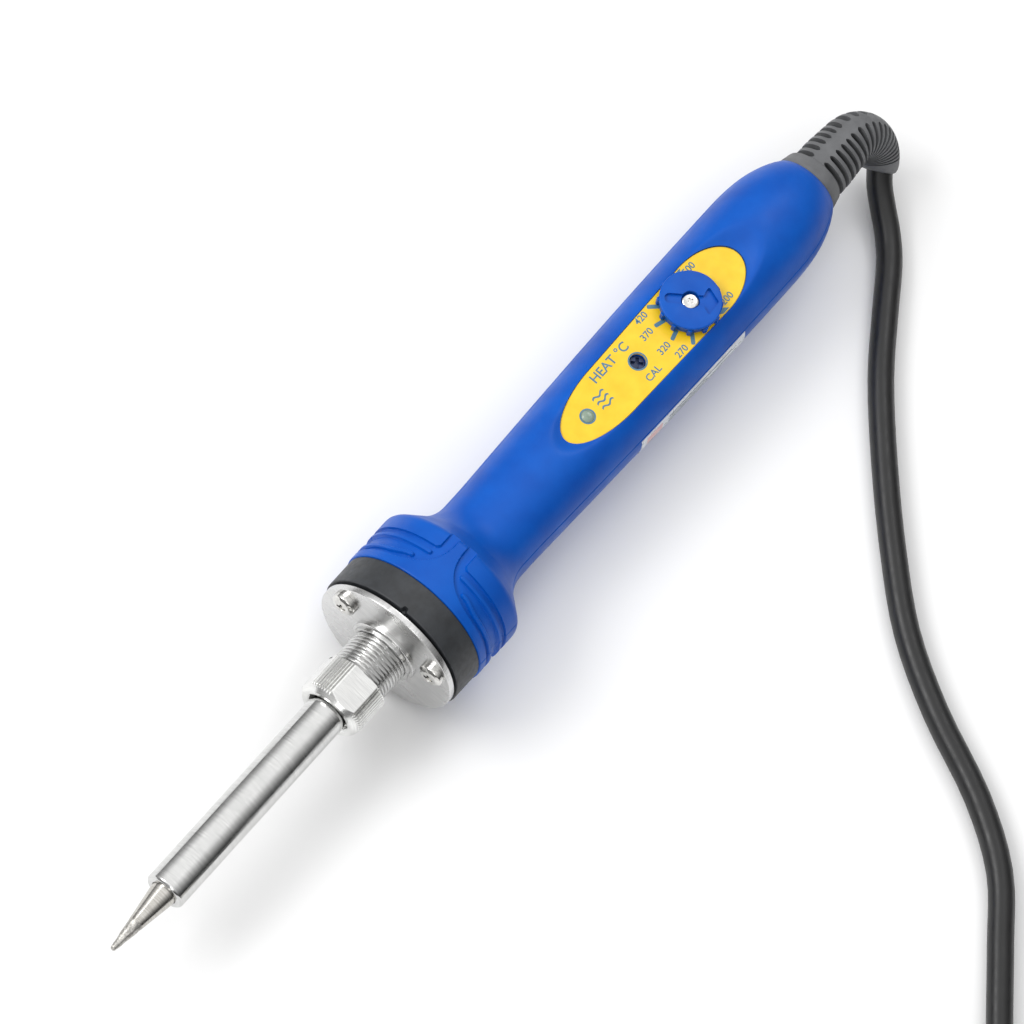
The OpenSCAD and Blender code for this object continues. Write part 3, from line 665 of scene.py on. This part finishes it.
RING_R = 19.05
NOTCH_R, NOTCH_DEPTH = 1.9, 1.5
ring_outline = dense(rounded([(RING_X0, 9.7), (RING_X0, RING_R, 0.25), (RING_X1, RING_R, 0.2), (RING_X1, 7.5),
                              (103, 7.5), (103, 9.7)]), 0.16)


def ring_shape(x, r, degrees):
    """A shallow keyway in the ring's front edge, near the top."""
    off = (degrees + 180) % 360 - 180
    notch = smooth((NOTCH_R - np.hypot(off, (x - RING_X0) * 2)) / 0.6 + 0.5) * (r > 17)
    return r - NOTCH_DEPTH * notch


boss_parts = [turned(ring_outline, 540, ring_shape)]
for degrees in SCREW_AT:
    a = radians(degrees)
    path = [(x, -SCREW_CIRCLE * sin(a), SCREW_CIRCLE * cos(a)) for x in (FLANGE_X1, RING_X0 + 0.5)]
    boss_parts.append(tube(path, 3.0))
piece("insulator", *joined(boss_parts), "black_phenolic", replaces=["insulator_ring"])

# ---- handle ----
SHOULDER_X, NECK_R, FLANK = 120.76, 11.75, radians(47)
ROUND_R, HOLLOW_R = 2.0, 10.0
ROUND_X0 = SHOULDER_X - ROUND_R * tan(FLANK / 2)
ROUND_X1 = ROUND_X0 + ROUND_R * sin(FLANK)
NECK_X = SHOULDER_X + (GUARD_R - NECK_R) / tan(FLANK)
HOLLOW_X1 = NECK_X + HOLLOW_R * tan(FLANK / 2)
HOLLOW_X0 = HOLLOW_X1 - HOLLOW_R * sin(FLANK)
WALL = 2.1
BARREL_R, TAIL_R, BARREL_X0, BARREL_X1, TAIL_X0, TAIL_WALL_X = 13.25, 8.6, 138.0, 222.0, 230.0, 247.5
SEAM_Z = 4.0
SEAM_GAP = 0.07
CEILING_Z = 8.2


def handle_radius(x):
    """The handle's outside radius: guard, rounded rear edge, straight flank, hollow, neck, barrel and tail."""
    x = np.asarray(x, float)
    edge = GUARD_R - ROUND_R + np.sqrt(np.maximum(ROUND_R ** 2 - np.maximum(x - ROUND_X0, 0) ** 2, 0))
    flank = GUARD_R - ROUND_R * (1 - cos(FLANK)) - (x - ROUND_X1) * tan(FLANK)
    hollow = NECK_R + HOLLOW_R - np.sqrt(np.maximum(HOLLOW_R ** 2 - np.maximum(HOLLOW_X1 - x, 0) ** 2, 0))
    barrel = NECK_R + (BARREL_R - NECK_R) * np.sin(np.radians(90) * np.clip(
        (x - BARREL_X0) / (BARREL_X1 - BARREL_X0), 0, 1))
    tail = BARREL_R - (BARREL_R - TAIL_R) * np.clip((x - TAIL_X0) / (HANDLE_X1 - TAIL_X0), 0, 1) ** 3
    return np.select([x < ROUND_X1, x < HOLLOW_X0, x < HOLLOW_X1, x < TAIL_X0], [edge, flank, hollow, barrel], tail)


# the grip: on each side of the guard a channel is sunk around a raised block, with two ribs in it
GRIP_FLOOR = GUARD_R - 0.75
GRIP_END = 115.0            # degrees from the top where the channel ends
RIB_END = 105.0
BLOCK_X, BLOCK_S, BLOCK_ROUND = 116.4, 3.75, 1.3
# the channel's rounded corner: where its curve is centred, its reach each way and how square it is
CORNER_S, CORNER_X, REACH_S, REACH_X, SQUARE = 15, 121, 13.7, 11.7, 2.6
WALL_SOFT = 0.22            # width of the slope at the channel's and the block's edges
RIBS_AT = ((114.5, 14.5, 0.0), (111.7, 23.3, 0.9))      # place, first direction and drift toward the tip


def grip(x, r, degrees):
    """The handle's outside radius with its grip; s is the distance round the guard from its top."""
    off = abs((degrees + 180) % 360 - 180)
    s = radians(off) * GUARD_R
    a = max(CORNER_S - s, 0) / REACH_S
    b = np.maximum(CORNER_X - x, 0) / REACH_X
    inside = (1 - (a ** SQUARE + b ** SQUARE) ** (1 / SQUARE)) * REACH_X
    channel = smooth(inside / WALL_SOFT + 0.5) * smooth((GRIP_END - off) / 1.6)
    corner = np.hypot(np.minimum(x - BLOCK_X - BLOCK_ROUND, 0), min(s - BLOCK_S - BLOCK_ROUND, 0)) - BLOCK_ROUND
    block = smooth(-corner / WALL_SOFT + 0.5)
    ribs = 0
    for rib_x, first, drift in RIBS_AT:
        centre = rib_x - drift * smooth((off - first) / 17)
        beyond = max(radians(first - off) * GUARD_R, radians(off - RIB_END) * GUARD_R, 0)
        ribs = np.maximum(ribs, smooth((0.5 - np.hypot(x - centre, beyond)) / 0.25 + 0.5))
    sunk = channel * (1 - np.maximum(block, ribs))
    return np.where(x > RING_X1 + 0.4, r - sunk * np.maximum(r - GRIP_FLOOR, 0), r)


FRONT_X = RING_X1 + 0.05
outer_x = np.concatenate((
    np.arange(FRONT_X + 0.3, ROUND_X1 + 0.2, 0.15), np.arange(ROUND_X1 + 0.4, HOLLOW_X1, 0.5),
    np.arange(HOLLOW_X1, TAIL_X0, 1.0), np.arange(TAIL_X0, HANDLE_X1 - 0.3, 1.2)))
inner_x = np.concatenate((np.arange(110.5, 134, 1.0), np.arange(134, TAIL_WALL_X, 4.0)))
outer_line = [(FRONT_X, 7.5), (FRONT_X, GUARD_R - 0.28), (FRONT_X + 0.08, GUARD_R - 0.09)]
outer_line += list(zip(outer_x, handle_radius(outer_x)))
outer_line += [(HANDLE_X1 - 0.08, TAIL_R - 0.03), (HANDLE_X1, TAIL_R - 0.15), (HANDLE_X1, 5.65)]
inner_r = np.minimum(handle_radius(inner_x) - WALL, GUARD_R - 2.4)
inner_line = [(TAIL_WALL_X, 5.65)] + list(zip(inner_x, inner_r))[::-1] + [(109.5, 17.0), (109.5, 7.5)]
shell_loop = np.array(outer_line + inner_line, float)
is_outer = np.arange(len(shell_loop)) < len(outer_line)
SEAM_EDGE = 0.14
# the label's two rounded ends: centre, reach along the iron and half width
LABEL_FRONT, LABEL_REAR = (178.0, 17.9, 7.05), (212.0, 12.4, 7.7)
LABEL_LIP, LABEL_SLOPE, EASE_ROUND = 10.8, 0.4, 0.25


def beyond_label(x, y):
    """How far a place on the handle lies outside the label's outline, roughly."""
    front, rear = LABEL_FRONT, LABEL_REAR
    span_x = np.where(x < (front[0] + rear[0]) / 2, front[1], rear[1])
    span_y = np.interp(x, (front[0], rear[0]), (front[2], rear[2]))
    off_x = np.minimum(x - front[0], 0) + np.maximum(x - rear[0], 0)
    reach = np.hypot(off_x / span_x, y / span_y) + 1e-6
    slope = np.hypot(off_x / span_x ** 2, y / span_y ** 2) + 1e-6
    return np.maximum(reach - 1, 0) * reach / slope


def shell(side, count):
    """One half of the handle: side 1 is above the seam, and -1 below it."""
    x, radius = shell_loop[:, 0], shell_loop[:, 1]
    columns = [(-1, 0.0, SEAM_EDGE * 0.8)] + [(u, SEAM_EDGE, 0.0) for u in np.linspace(-1, 1, count)]
    columns += [(1, 0.0, SEAM_EDGE * 0.8)]
    points = []
    for u, lift, pull in columns:
        plane = SEAM_Z + side * (SEAM_GAP + lift)
        r = radius - pull * is_outer
        limit = np.arccos(plane / r)
        angle = u * limit if side > 0 else pi + u * (pi - limit)
        at_grip = float(np.degrees(angle)[len(angle) // 8])
        shaped = np.where(is_outer & (x < ROUND_X1 + 2), grip(x, r, at_grip), r)
        if side > 0:
            roof = np.where((~is_outer) & (x > 156) & (x < 228), CEILING_Z / np.maximum(np.cos(angle), 0.05), 99)
            shaped = np.minimum(shaped, roof)
        y, z = -shaped * np.sin(angle), shaped * np.cos(angle)
        if side > 0:
            # the shell eases down to the label's edge, by a rounded minimum of two heights
            eased = LABEL_LIP + LABEL_SLOPE * beyond_label(x, y)
            near = is_outer & (x > 145) & (x < 240)
            z = np.where(near, -EASE_ROUND * np.logaddexp(-z / EASE_ROUND, -eased / EASE_ROUND), z)
        points.append(np.column_stack((x, y, z)))
    faces = grid_faces(len(columns), len(x), ring=False)
    return np.vstack(points), [f[::-1] for f in faces]


# ---- label ----
def label_outline(shrink):
    """The label's outline, drawn in by a little."""
    return [p for (x, reach, half), start in ((LABEL_FRONT, 90), (LABEL_REAR, -90))
            for p in arc(x, 0, reach - shrink, half - shrink, start, start + 180, 49)]


lower = piece("handle_lower", *shell(-1, 300), "blue_plastic", replaces=["lower_shell"])
upper = piece("handle_upper", *shell(1, 250), "blue_plastic", replaces=["upper_shell"])
holes = [cylinder(LAMP_X, 0, 5, LABEL_Z + 4, 1.52), cylinder(TRIMMER_X, 0, 5, LABEL_Z + 4, 1.95),
         cylinder(DIAL_X, 0, 5, LABEL_Z + 4, 3.4, 64)]
cut(upper, [prism(label_outline(0), RECESS_Z, 20)] + holes)

# counterbores under the lower shell, and the posts its four screws stand in
SHELL_SCREWS = ((148, 6.6), (148, -6.6), (236, 6), (236, -6))
cut(lower, [cylinder(x, y, -15, -7.6, 2.45) for x, y in SHELL_SCREWS])
post_points, post_faces = turned([(-7.6, 1.35), (-7.6, 2.3), (-7.0, 2.55), (3.8, 2.55), (3.8, 1.35)], 48)
piece("screw_posts", *joined([(upright(post_points, x, y), post_faces) for x, y in SHELL_SCREWS]), "blue_plastic")

plate = piece("label_face", *prism(label_outline(0.1), RECESS_Z, LABEL_Z, 0.08), "label_print",
              replaces=["label_plate"])
cut(plate, holes)

INK_T = 0.04
INK_Z = (LABEL_Z - 0.01, LABEL_Z + INK_T)


def lettering(text, height, x, y):
    """Raised lettering of a given height, centred at x, y on the label."""
    font = bpy.data.curves.new("lettering", "FONT")
    font.body = text
    font.extrude = 0.5
    font.offset = 0.014
    made = added("lettering", font)
    mesh = worked_out(made)
    points = np.array([v.co for v in mesh.vertices])
    faces = [tuple(p.vertices) for p in mesh.polygons]
    bpy.data.objects.remove(made)
    low, high = points.min(0), points.max(0)
    scale = height / (high[1] - low[1])
    points = (points - (low + high) / 2) * (scale, scale, 1)
    return points * (1, 1, INK_T) + (x, y, LABEL_Z + INK_T / 2), faces


# each number: its text, the direction of its mark from the dial, and its place
MARKS = (("200", 301, 213.5, -5.4), ("270", 225, 195.9, -5.9), ("320", 195, 193.7, -2.4), ("370", 165, 193.7, 2.7),
         ("420", 135, 195.9, 6.2), ("500", 60, 213.3, 5.8))
ink = [lettering(text, 1.75, x, y) for text, _, x, y in MARKS]
ink += [lettering("CAL", 1.8, TRIMMER_X + 0.2, -4.5), lettering("HEAT °C", 2.5, 182.3, 4.8)]
for _, angle, _, _ in MARKS[1:5]:
    c, s = cos(radians(angle)), sin(radians(angle))
    corners = rounded([(6.9, -0.5), (9.8, -0.5, 0.35), (9.8, 0.5, 0.35), (6.9, 0.5)])
    ink.append(prism([(DIAL_X + r * c - t * s, r * s + t * c) for r, t in corners], *INK_Z))
for angle in (MARKS[0][1], MARKS[5][1]):
    wedge = arc(DIAL_X, 0, 7.2, 7.2, angle - 7, angle + 7, 6) + arc(DIAL_X, 0, 9.9, 9.9, angle + 7, angle - 7, 6)
    wedge = [(x, max(-7.3, min(7.3, y))) for x, y in wedge]
    ink.append(prism(wedge, *INK_Z))
for centre, r0, r1 in ((TRIMMER_X, 1.96, 2.35), (LAMP_X, 1.54, 1.95)):
    points, faces = turned([(INK_Z[0], r0), (INK_Z[0], r1), (INK_Z[1], r1), (INK_Z[1], r0)], 48)
    ink.append((upright(points, centre), faces))
for k in (-1, 0, 1):
    wave = [(172.2 + t, 1.5 * k + 0.32 * sin(t * 2.4)) for t in np.linspace(0, 3.9, 25)]
    ink.append(prism([(x, y - 0.24) for x, y in wave] + [(x, y + 0.24) for x, y in wave[::-1]], *INK_Z))
piece("label_marks", *joined(ink), "label_ink", slot="label_print")


def patch(x0, x1, start, end, low, high, slant=0.0):
    """A thin sheet wrapped on the barrel between two directions, in degrees from +Z toward -Y."""
    rows, columns = 16, 20
    layers = []
    for lift in (high, low):
        for j in range(columns + 1):
            v = j / columns
            angle = radians(start + (end - start) * v)
            for i in range(rows + 1):
                x = x0 + (x1 - x0) * i / rows + slant * (v - 0.5)
                r = float(handle_radius(x)) + lift
                layers.append((x, -r * sin(angle), r * cos(angle)))
    n, m = rows + 1, (rows + 1) * (columns + 1)
    faces = []
    for j in range(columns):
        for i in range(rows):
            a = j * n + i
            faces += [(a, a + n, a + n + 1, a + 1), (m + a, m + a + 1, m + a + n + 1, m + a + n)]
    rim = list(range(rows)) + [j * n + rows for j in range(columns)]
    rim += [columns * n + i for i in range(rows, 0, -1)] + [j * n for j in range(columns, 0, -1)]
    faces += [(a, b, m + b, m + a) for a, b in zip(rim, rim[1:] + rim[:1])]
    return np.array(layers), faces


piece("rating_foil", *patch(175, 213, 74, 114, 0.02, 0.14), "label_foil", replaces=["rating_label"])
piece("rating_patch", *patch(177, 182.5, 78, 91, 0.12, 0.17), "foil_pink", slot="label_foil")
bars = [patch(x0, x1, start, start + 2.2, 0.12, 0.17) for start, x0, x1 in
        ((79, 185, 208), (84, 185, 199), (89, 185, 210), (96, 178, 204), (101, 178, 196), (106, 178, 209))]
piece("rating_bars", *joined(bars), "foil_ink", slot="label_foil")

# ---- dial ----
KNOB_Z0, KNOB_Z1 = LABEL_Z + 0.3, LABEL_Z + 3.4
SEAT_Z = LABEL_Z + 2.1      # the screw's seat in the knob
ARROW_Z = LABEL_Z + 2.6     # floor of the arrow sunk in the knob's top
ARROW_TURN = radians(308)
TOP_R, SKIRT_R, RIB_R, RIBS = 7.4, 7.0, 7.75, 12


def turned_xy(points, angle, x):
    """Turns flat points about the origin and moves them to x on the iron's axis."""
    c, s = cos(angle), sin(angle)
    return [(x + a * c - b * s, a * s + b * c) for a, b in points]


knob_outline = rounded([(KNOB_Z0, 3.02), (KNOB_Z0, SKIRT_R, 0.15), (KNOB_Z0 + 1.9, SKIRT_R),
                        (KNOB_Z0 + 2.3, TOP_R, 0.2), (KNOB_Z1, TOP_R, 0.35), (KNOB_Z1, 2.2, 0.1), (SEAT_Z, 2.2), (SEAT_Z, 1.2),
                        (LABEL_Z + 1.8, 1.2), (LABEL_Z + 1.8, 3.02)])
knob_points, knob_faces = turned(knob_outline, 144)
knob = piece("dial_cap", upright(knob_points, DIAL_X), knob_faces, "knob_plastic", "dial", "blue_plastic",
             ["dial_knob"])
rib = rounded([(SKIRT_R - 0.6, -0.55), (RIB_R, -0.55, 0.3), (RIB_R, 0.55, 0.3), (SKIRT_R - 0.6, 0.55)])
ribs = [prism(turned_xy(rib, ARROW_TURN + 2 * pi * k / RIBS, DIAL_X), KNOB_Z0, ARROW_Z, 0.15)
        for k in range(RIBS)]
piece("dial_ribs", *joined(ribs), "knob_plastic", "dial", "blue_plastic")
arrow = rounded([(-6.2, -1.25, 1.2), (3.0, -1.25, 0.1), (3.3, -2.1, 0.3), (4.2, -3.6, 0.4), (6.5, 0, 0.3),
                 (4.2, 3.6, 0.4), (3.3, 2.1, 0.3), (3.0, 1.25, 0.1), (-6.2, 1.25, 1.2)])
cut(knob, [prism(turned_xy(arrow, ARROW_TURN, DIAL_X), ARROW_Z, LABEL_Z + 5)])

points, faces, arms = pan_screw(2.1, 0.75, 1.1, 3.6, 20)
screw = piece("dial_screw_head", upright(points, DIAL_X) + (0, 0, SEAT_Z), faces, "screw_steel", "dial",
              replaces=["dial_screw"])
cut(screw, [(upright(arm, DIAL_X) + (0, 0, SEAT_Z), CROSS_FACES) for arm in arms])

# lamp window: a low dome standing in its ring
lens = rounded([(6.6, 0.02), (6.6, 1.48), (LABEL_Z + 0.1, 1.48, 0.1), (LABEL_Z + 0.35, 0.9, 0.6),
                (LABEL_Z + 0.42, 0.02)])
lens_points, lens_faces = turned(lens, 48)
piece("lamp_window", upright(lens_points, LAMP_X), lens_faces, "lamp_plastic", replaces=["lamp_lens"])

# ---- cord guard: a collar and a slotted sleeve that bends with the cord ----
GUARD_STRAIGHT, GUARD_BEND, GUARD_TURN = 268.5, 8.0, radians(130)
BEND_Y, BEND_Z = -0.643, -0.766
STEP_X = 256.8
SLOTS, SLOT_X0, SLOT_PITCH, SLOT_W = 18, 257.3, 2.35, 1.36
CROWDING = 0.045            # how fast the slots' pitch drops from the handle to the free end
NARROWING = 0.055           # how fast the slots' width drops
GUARD_LIP = 1.0
TAPER_FROM = 262
SPINE_AT, SPINE_HALF = -8.0, 12.5
SLOT_END = 150.0
GUARD_BORE = 3.3
guard_end = GUARD_STRAIGHT + GUARD_BEND * GUARD_TURN + GUARD_LIP


def bend_parts(degrees):
    """How far a direction, in degrees from +Z toward -Y, points into the guard's bend and across it."""
    phi = radians(degrees)
    return BEND_Y * -sin(phi) + BEND_Z * cos(phi), -BEND_Z * -sin(phi) + BEND_Y * cos(phi)


def guard_point(s, degrees, r):
    """A point of the cord guard: s runs along its centre line."""
    a = max(s - GUARD_STRAIGHT, 0) / GUARD_BEND
    toward, across = bend_parts(degrees)
    x = min(s, GUARD_STRAIGHT) + GUARD_BEND * sin(a) - r * toward * sin(a)
    shift = GUARD_BEND * (1 - cos(a)) + r * toward * cos(a)
    return x, BEND_Y * shift - BEND_Z * r * across, BEND_Z * shift + BEND_Y * r * across


def guard_radius(s, degrees):
    """Tapers toward the free end, and is a little fuller on the inside of the bend."""
    tapered = min(max((s - TAPER_FROM) / (guard_end - TAPER_FROM), 0), 1)
    return 7.0 - 2.4 * tapered + 0.4 * bend_parts(degrees)[0]


rows = [STEP_X]
for k in range(SLOTS):
    start = SLOT_X0 + k * (SLOT_PITCH - CROWDING * k)
    width = SLOT_W - NARROWING * k
    rows += [start, start + width / 2, start + width]
rows += [guard_end - 1.8, guard_end - 0.9, guard_end - 0.3, guard_end]
# how far each of the last rows draws in, to round the free end
END_DRAWN = {len(rows) - 3: 0.12, len(rows) - 2: 0.4, len(rows) - 1: 0.85}
# directions of the grid's columns: solid spines, rounded slot ends and open slots on both sides
slot_start = SPINE_AT + SPINE_HALF
slot_side = [slot_start, slot_start + 2, slot_start + 5, slot_start + 9]
slot_side += list(np.linspace(slot_start + 18, SLOT_END - 18, 12))
slot_side += [SLOT_END - 9, SLOT_END - 5, SLOT_END - 2, SLOT_END]
other_side = [2 * SPINE_AT - d for d in slot_side][::-1]
columns = list(slot_side) + list(np.linspace(SLOT_END, 360 + other_side[0], 6))[1:-1]
columns += [d + 360 for d in other_side] + list(np.linspace(360 + other_side[-1], 360 + slot_side[0], 4))[1:-1]
CLOSED = 0.06
END_PINCH = {0: CLOSED, 1: 0.5, 2: 0.8, 3: 0.95}        # how wide a slot is near its ends
near_end = {}
for group in (slot_side, [d + 360 for d in other_side]):
    for i, d in enumerate(group):
        near_end[d] = END_PINCH.get(min(i, len(group) - 1 - i), 1.0)


def row_place(index, degrees):
    """Slot edges come together toward the slot's ends."""
    s = rows[index]
    slot, part = divmod(index - 1, 3)
    if 0 <= slot < SLOTS and part != 1:
        middle = rows[3 * slot + 2]
        return middle + (s - middle) * near_end.get(degrees, CLOSED)
    return s


nr, nc = len(rows), len(columns)
guard_points = []
for outer in (True, False):
    for i in range(nr):
        for d in columns:
            s = row_place(i, d)
            r = guard_radius(s, d) - END_DRAWN.get(i, 0)
            guard_points.append(guard_point(s, d, r if outer else GUARD_BORE))


def opens(i, j):
    """Whether the guard is slotted between rows i and i + 1, and columns j and j + 1."""
    slot, part = divmod(i - 1, 3)
    here, after = columns[j], columns[(j + 1) % nc]
    return (0 <= slot < SLOTS and part < 2 and here in near_end and after in near_end
            and abs(after - here) < 30)


is_open = [[opens(i, j) for j in range(nc)] for i in range(nr - 1)]
guard_faces = []
layer = nr * nc
for i in range(nr - 1):
    for j in range(nc):
        if is_open[i][j]:
            continue
        k = (j + 1) % nc
        a, b, c, d = i * nc + j, i * nc + k, (i + 1) * nc + k, (i + 1) * nc + j
        guard_faces += [(a, b, c, d), (layer + d, layer + c, layer + b, layer + a)]
        edges = ((a, b, i == 0 or is_open[i - 1][j]), (c, d, i == nr - 2 or is_open[i + 1][j]),
                 (d, a, is_open[i][j - 1]), (b, c, is_open[i][k]))
        guard_faces += [(p, layer + p, layer + q, q) for p, q, free in edges if free]
collar = turned(rounded([
    (245.2, GUARD_BORE), (245.2, 7.4), (TAIL_WALL_X, 7.4), (TAIL_WALL_X, 5.6), (HANDLE_X1 + 0.05, 5.6),
    (HANDLE_X1 + 0.05, 8.2, 0.2), (254.2, 8.2, 0.7), (STEP_X, 7.6, 0.35), (STEP_X + 0.1, 6.0),
    (STEP_X + 0.1, GUARD_BORE)]), 96)
piece("cord_boot", *joined([collar, (np.array(guard_points), guard_faces)]), "grey_rubber",
      replaces=["cord_guard"], sharp=40)

# ---- CAD nodes that keep their shape ----
KEPT = {
    "nipple_locknut": "nipple_steel", "earth_tag": "tag_brass", "heating_element": "alumina",
    "heater_collar": "alumina", "heater_leads": "lead_insulation", "lead_sleeving": "sleeving",
    "earth_wire": "earth_insulation", "shell_screws": "screw_steel", "indicator_led": "red_led",
    "potentiometer_shaft": "pot_steel", "potentiometer_body": "pot_case", "trimmer_rotor": "trimmer_blue",
    "trimmer_body": "trimmer_white", "control_board": "circuit_board", "control_chip": "chip_black",
    "triac": "chip_black", "reservoir_capacitor": "capacitor_sleeve", "film_capacitor": "film_orange",
    "resistors": "resistor_body", "mains_conductors": "cord_jacket", "inner_cord": "cord_jacket",
    "cord_clamp": "clamp_plastic", "clamp_screws": "screw_steel", "plug_pins": "pin_brass"}
for node, surface in KEPT.items():
    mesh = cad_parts[node].data
    mesh.materials.clear()
    mesh.materials.append(MATERIALS[surface])

# ---- floor and light ----
FLOOR_HALF = 3.0
corners = np.array([(-1, -1, 0), (1, -1, 0), (1, 1, 0), (-1, 1, 0)]) * FLOOR_HALF
floor = linked("floor", corners, [(0, 1, 2, 3)])
grained("floor_paint", "#F4F4F4", "#F8F8F8", (0.75, 0.85), 400, 1e-6, 6)
floor.data.materials.append(MATERIALS["floor_paint"])

world = bpy.data.worlds.new("studio")
bpy.context.scene.world = world
world.use_nodes = True
sky = world.node_tree
background = sky.nodes["Background"]
background.inputs["Strength"].default_value = 1.25
direction = sky.nodes.new("ShaderNodeTexCoord")
lean = sky.nodes.new("ShaderNodeVectorMath")
lean.operation = "DOT_PRODUCT"
lean.inputs[1].default_value = (0, 0.174, 0.985)
shade = sky.nodes.new("ShaderNodeValToRGB")
sky.links.new(direction.outputs["Generated"], lean.inputs[0])
sky.links.new(lean.outputs["Value"], shade.inputs["Fac"])
sky.links.new(shade.outputs["Color"], background.inputs["Color"])
# darker toward the horizon, as between the lights of a studio tent
steps = ((0.0, 0.05), (0.3, 0.22), (0.6, 0.52), (0.86, 1.0))
ramp = shade.color_ramp.elements
while len(ramp) < len(steps):
    ramp.new(1.0)
for element, (position, grey) in zip(ramp, steps):
    element.position = position
    element.color = (grey, grey, grey, 1)


def softbox(name, place, toward, size, power):
    light = added(name, bpy.data.lights.new(name, "AREA"))
    light.data.shape = "RECTANGLE"
    light.data.size, light.data.size_y = size
    light.data.energy = power
    light.location = place
    light.rotation_euler = (Vector(toward) - Vector(place)).to_track_quat("-Z", "Y").to_euler()


softbox("key_light", (-0.45, 0.75, 0.95), (0, 0, 0), (0.8, 0.5), 7)
softbox("side_light", (0.75, 0.1, 0.9), (0.05, 0, 0.02), (0.4, 0.3), 1.2)
softbox("front_light", (-0.9, -0.3, 0.6), (-0.05, 0, 0.02), (0.3, 0.5), 1.5)
bpy.context.scene.view_settings.view_transform = "Standard"
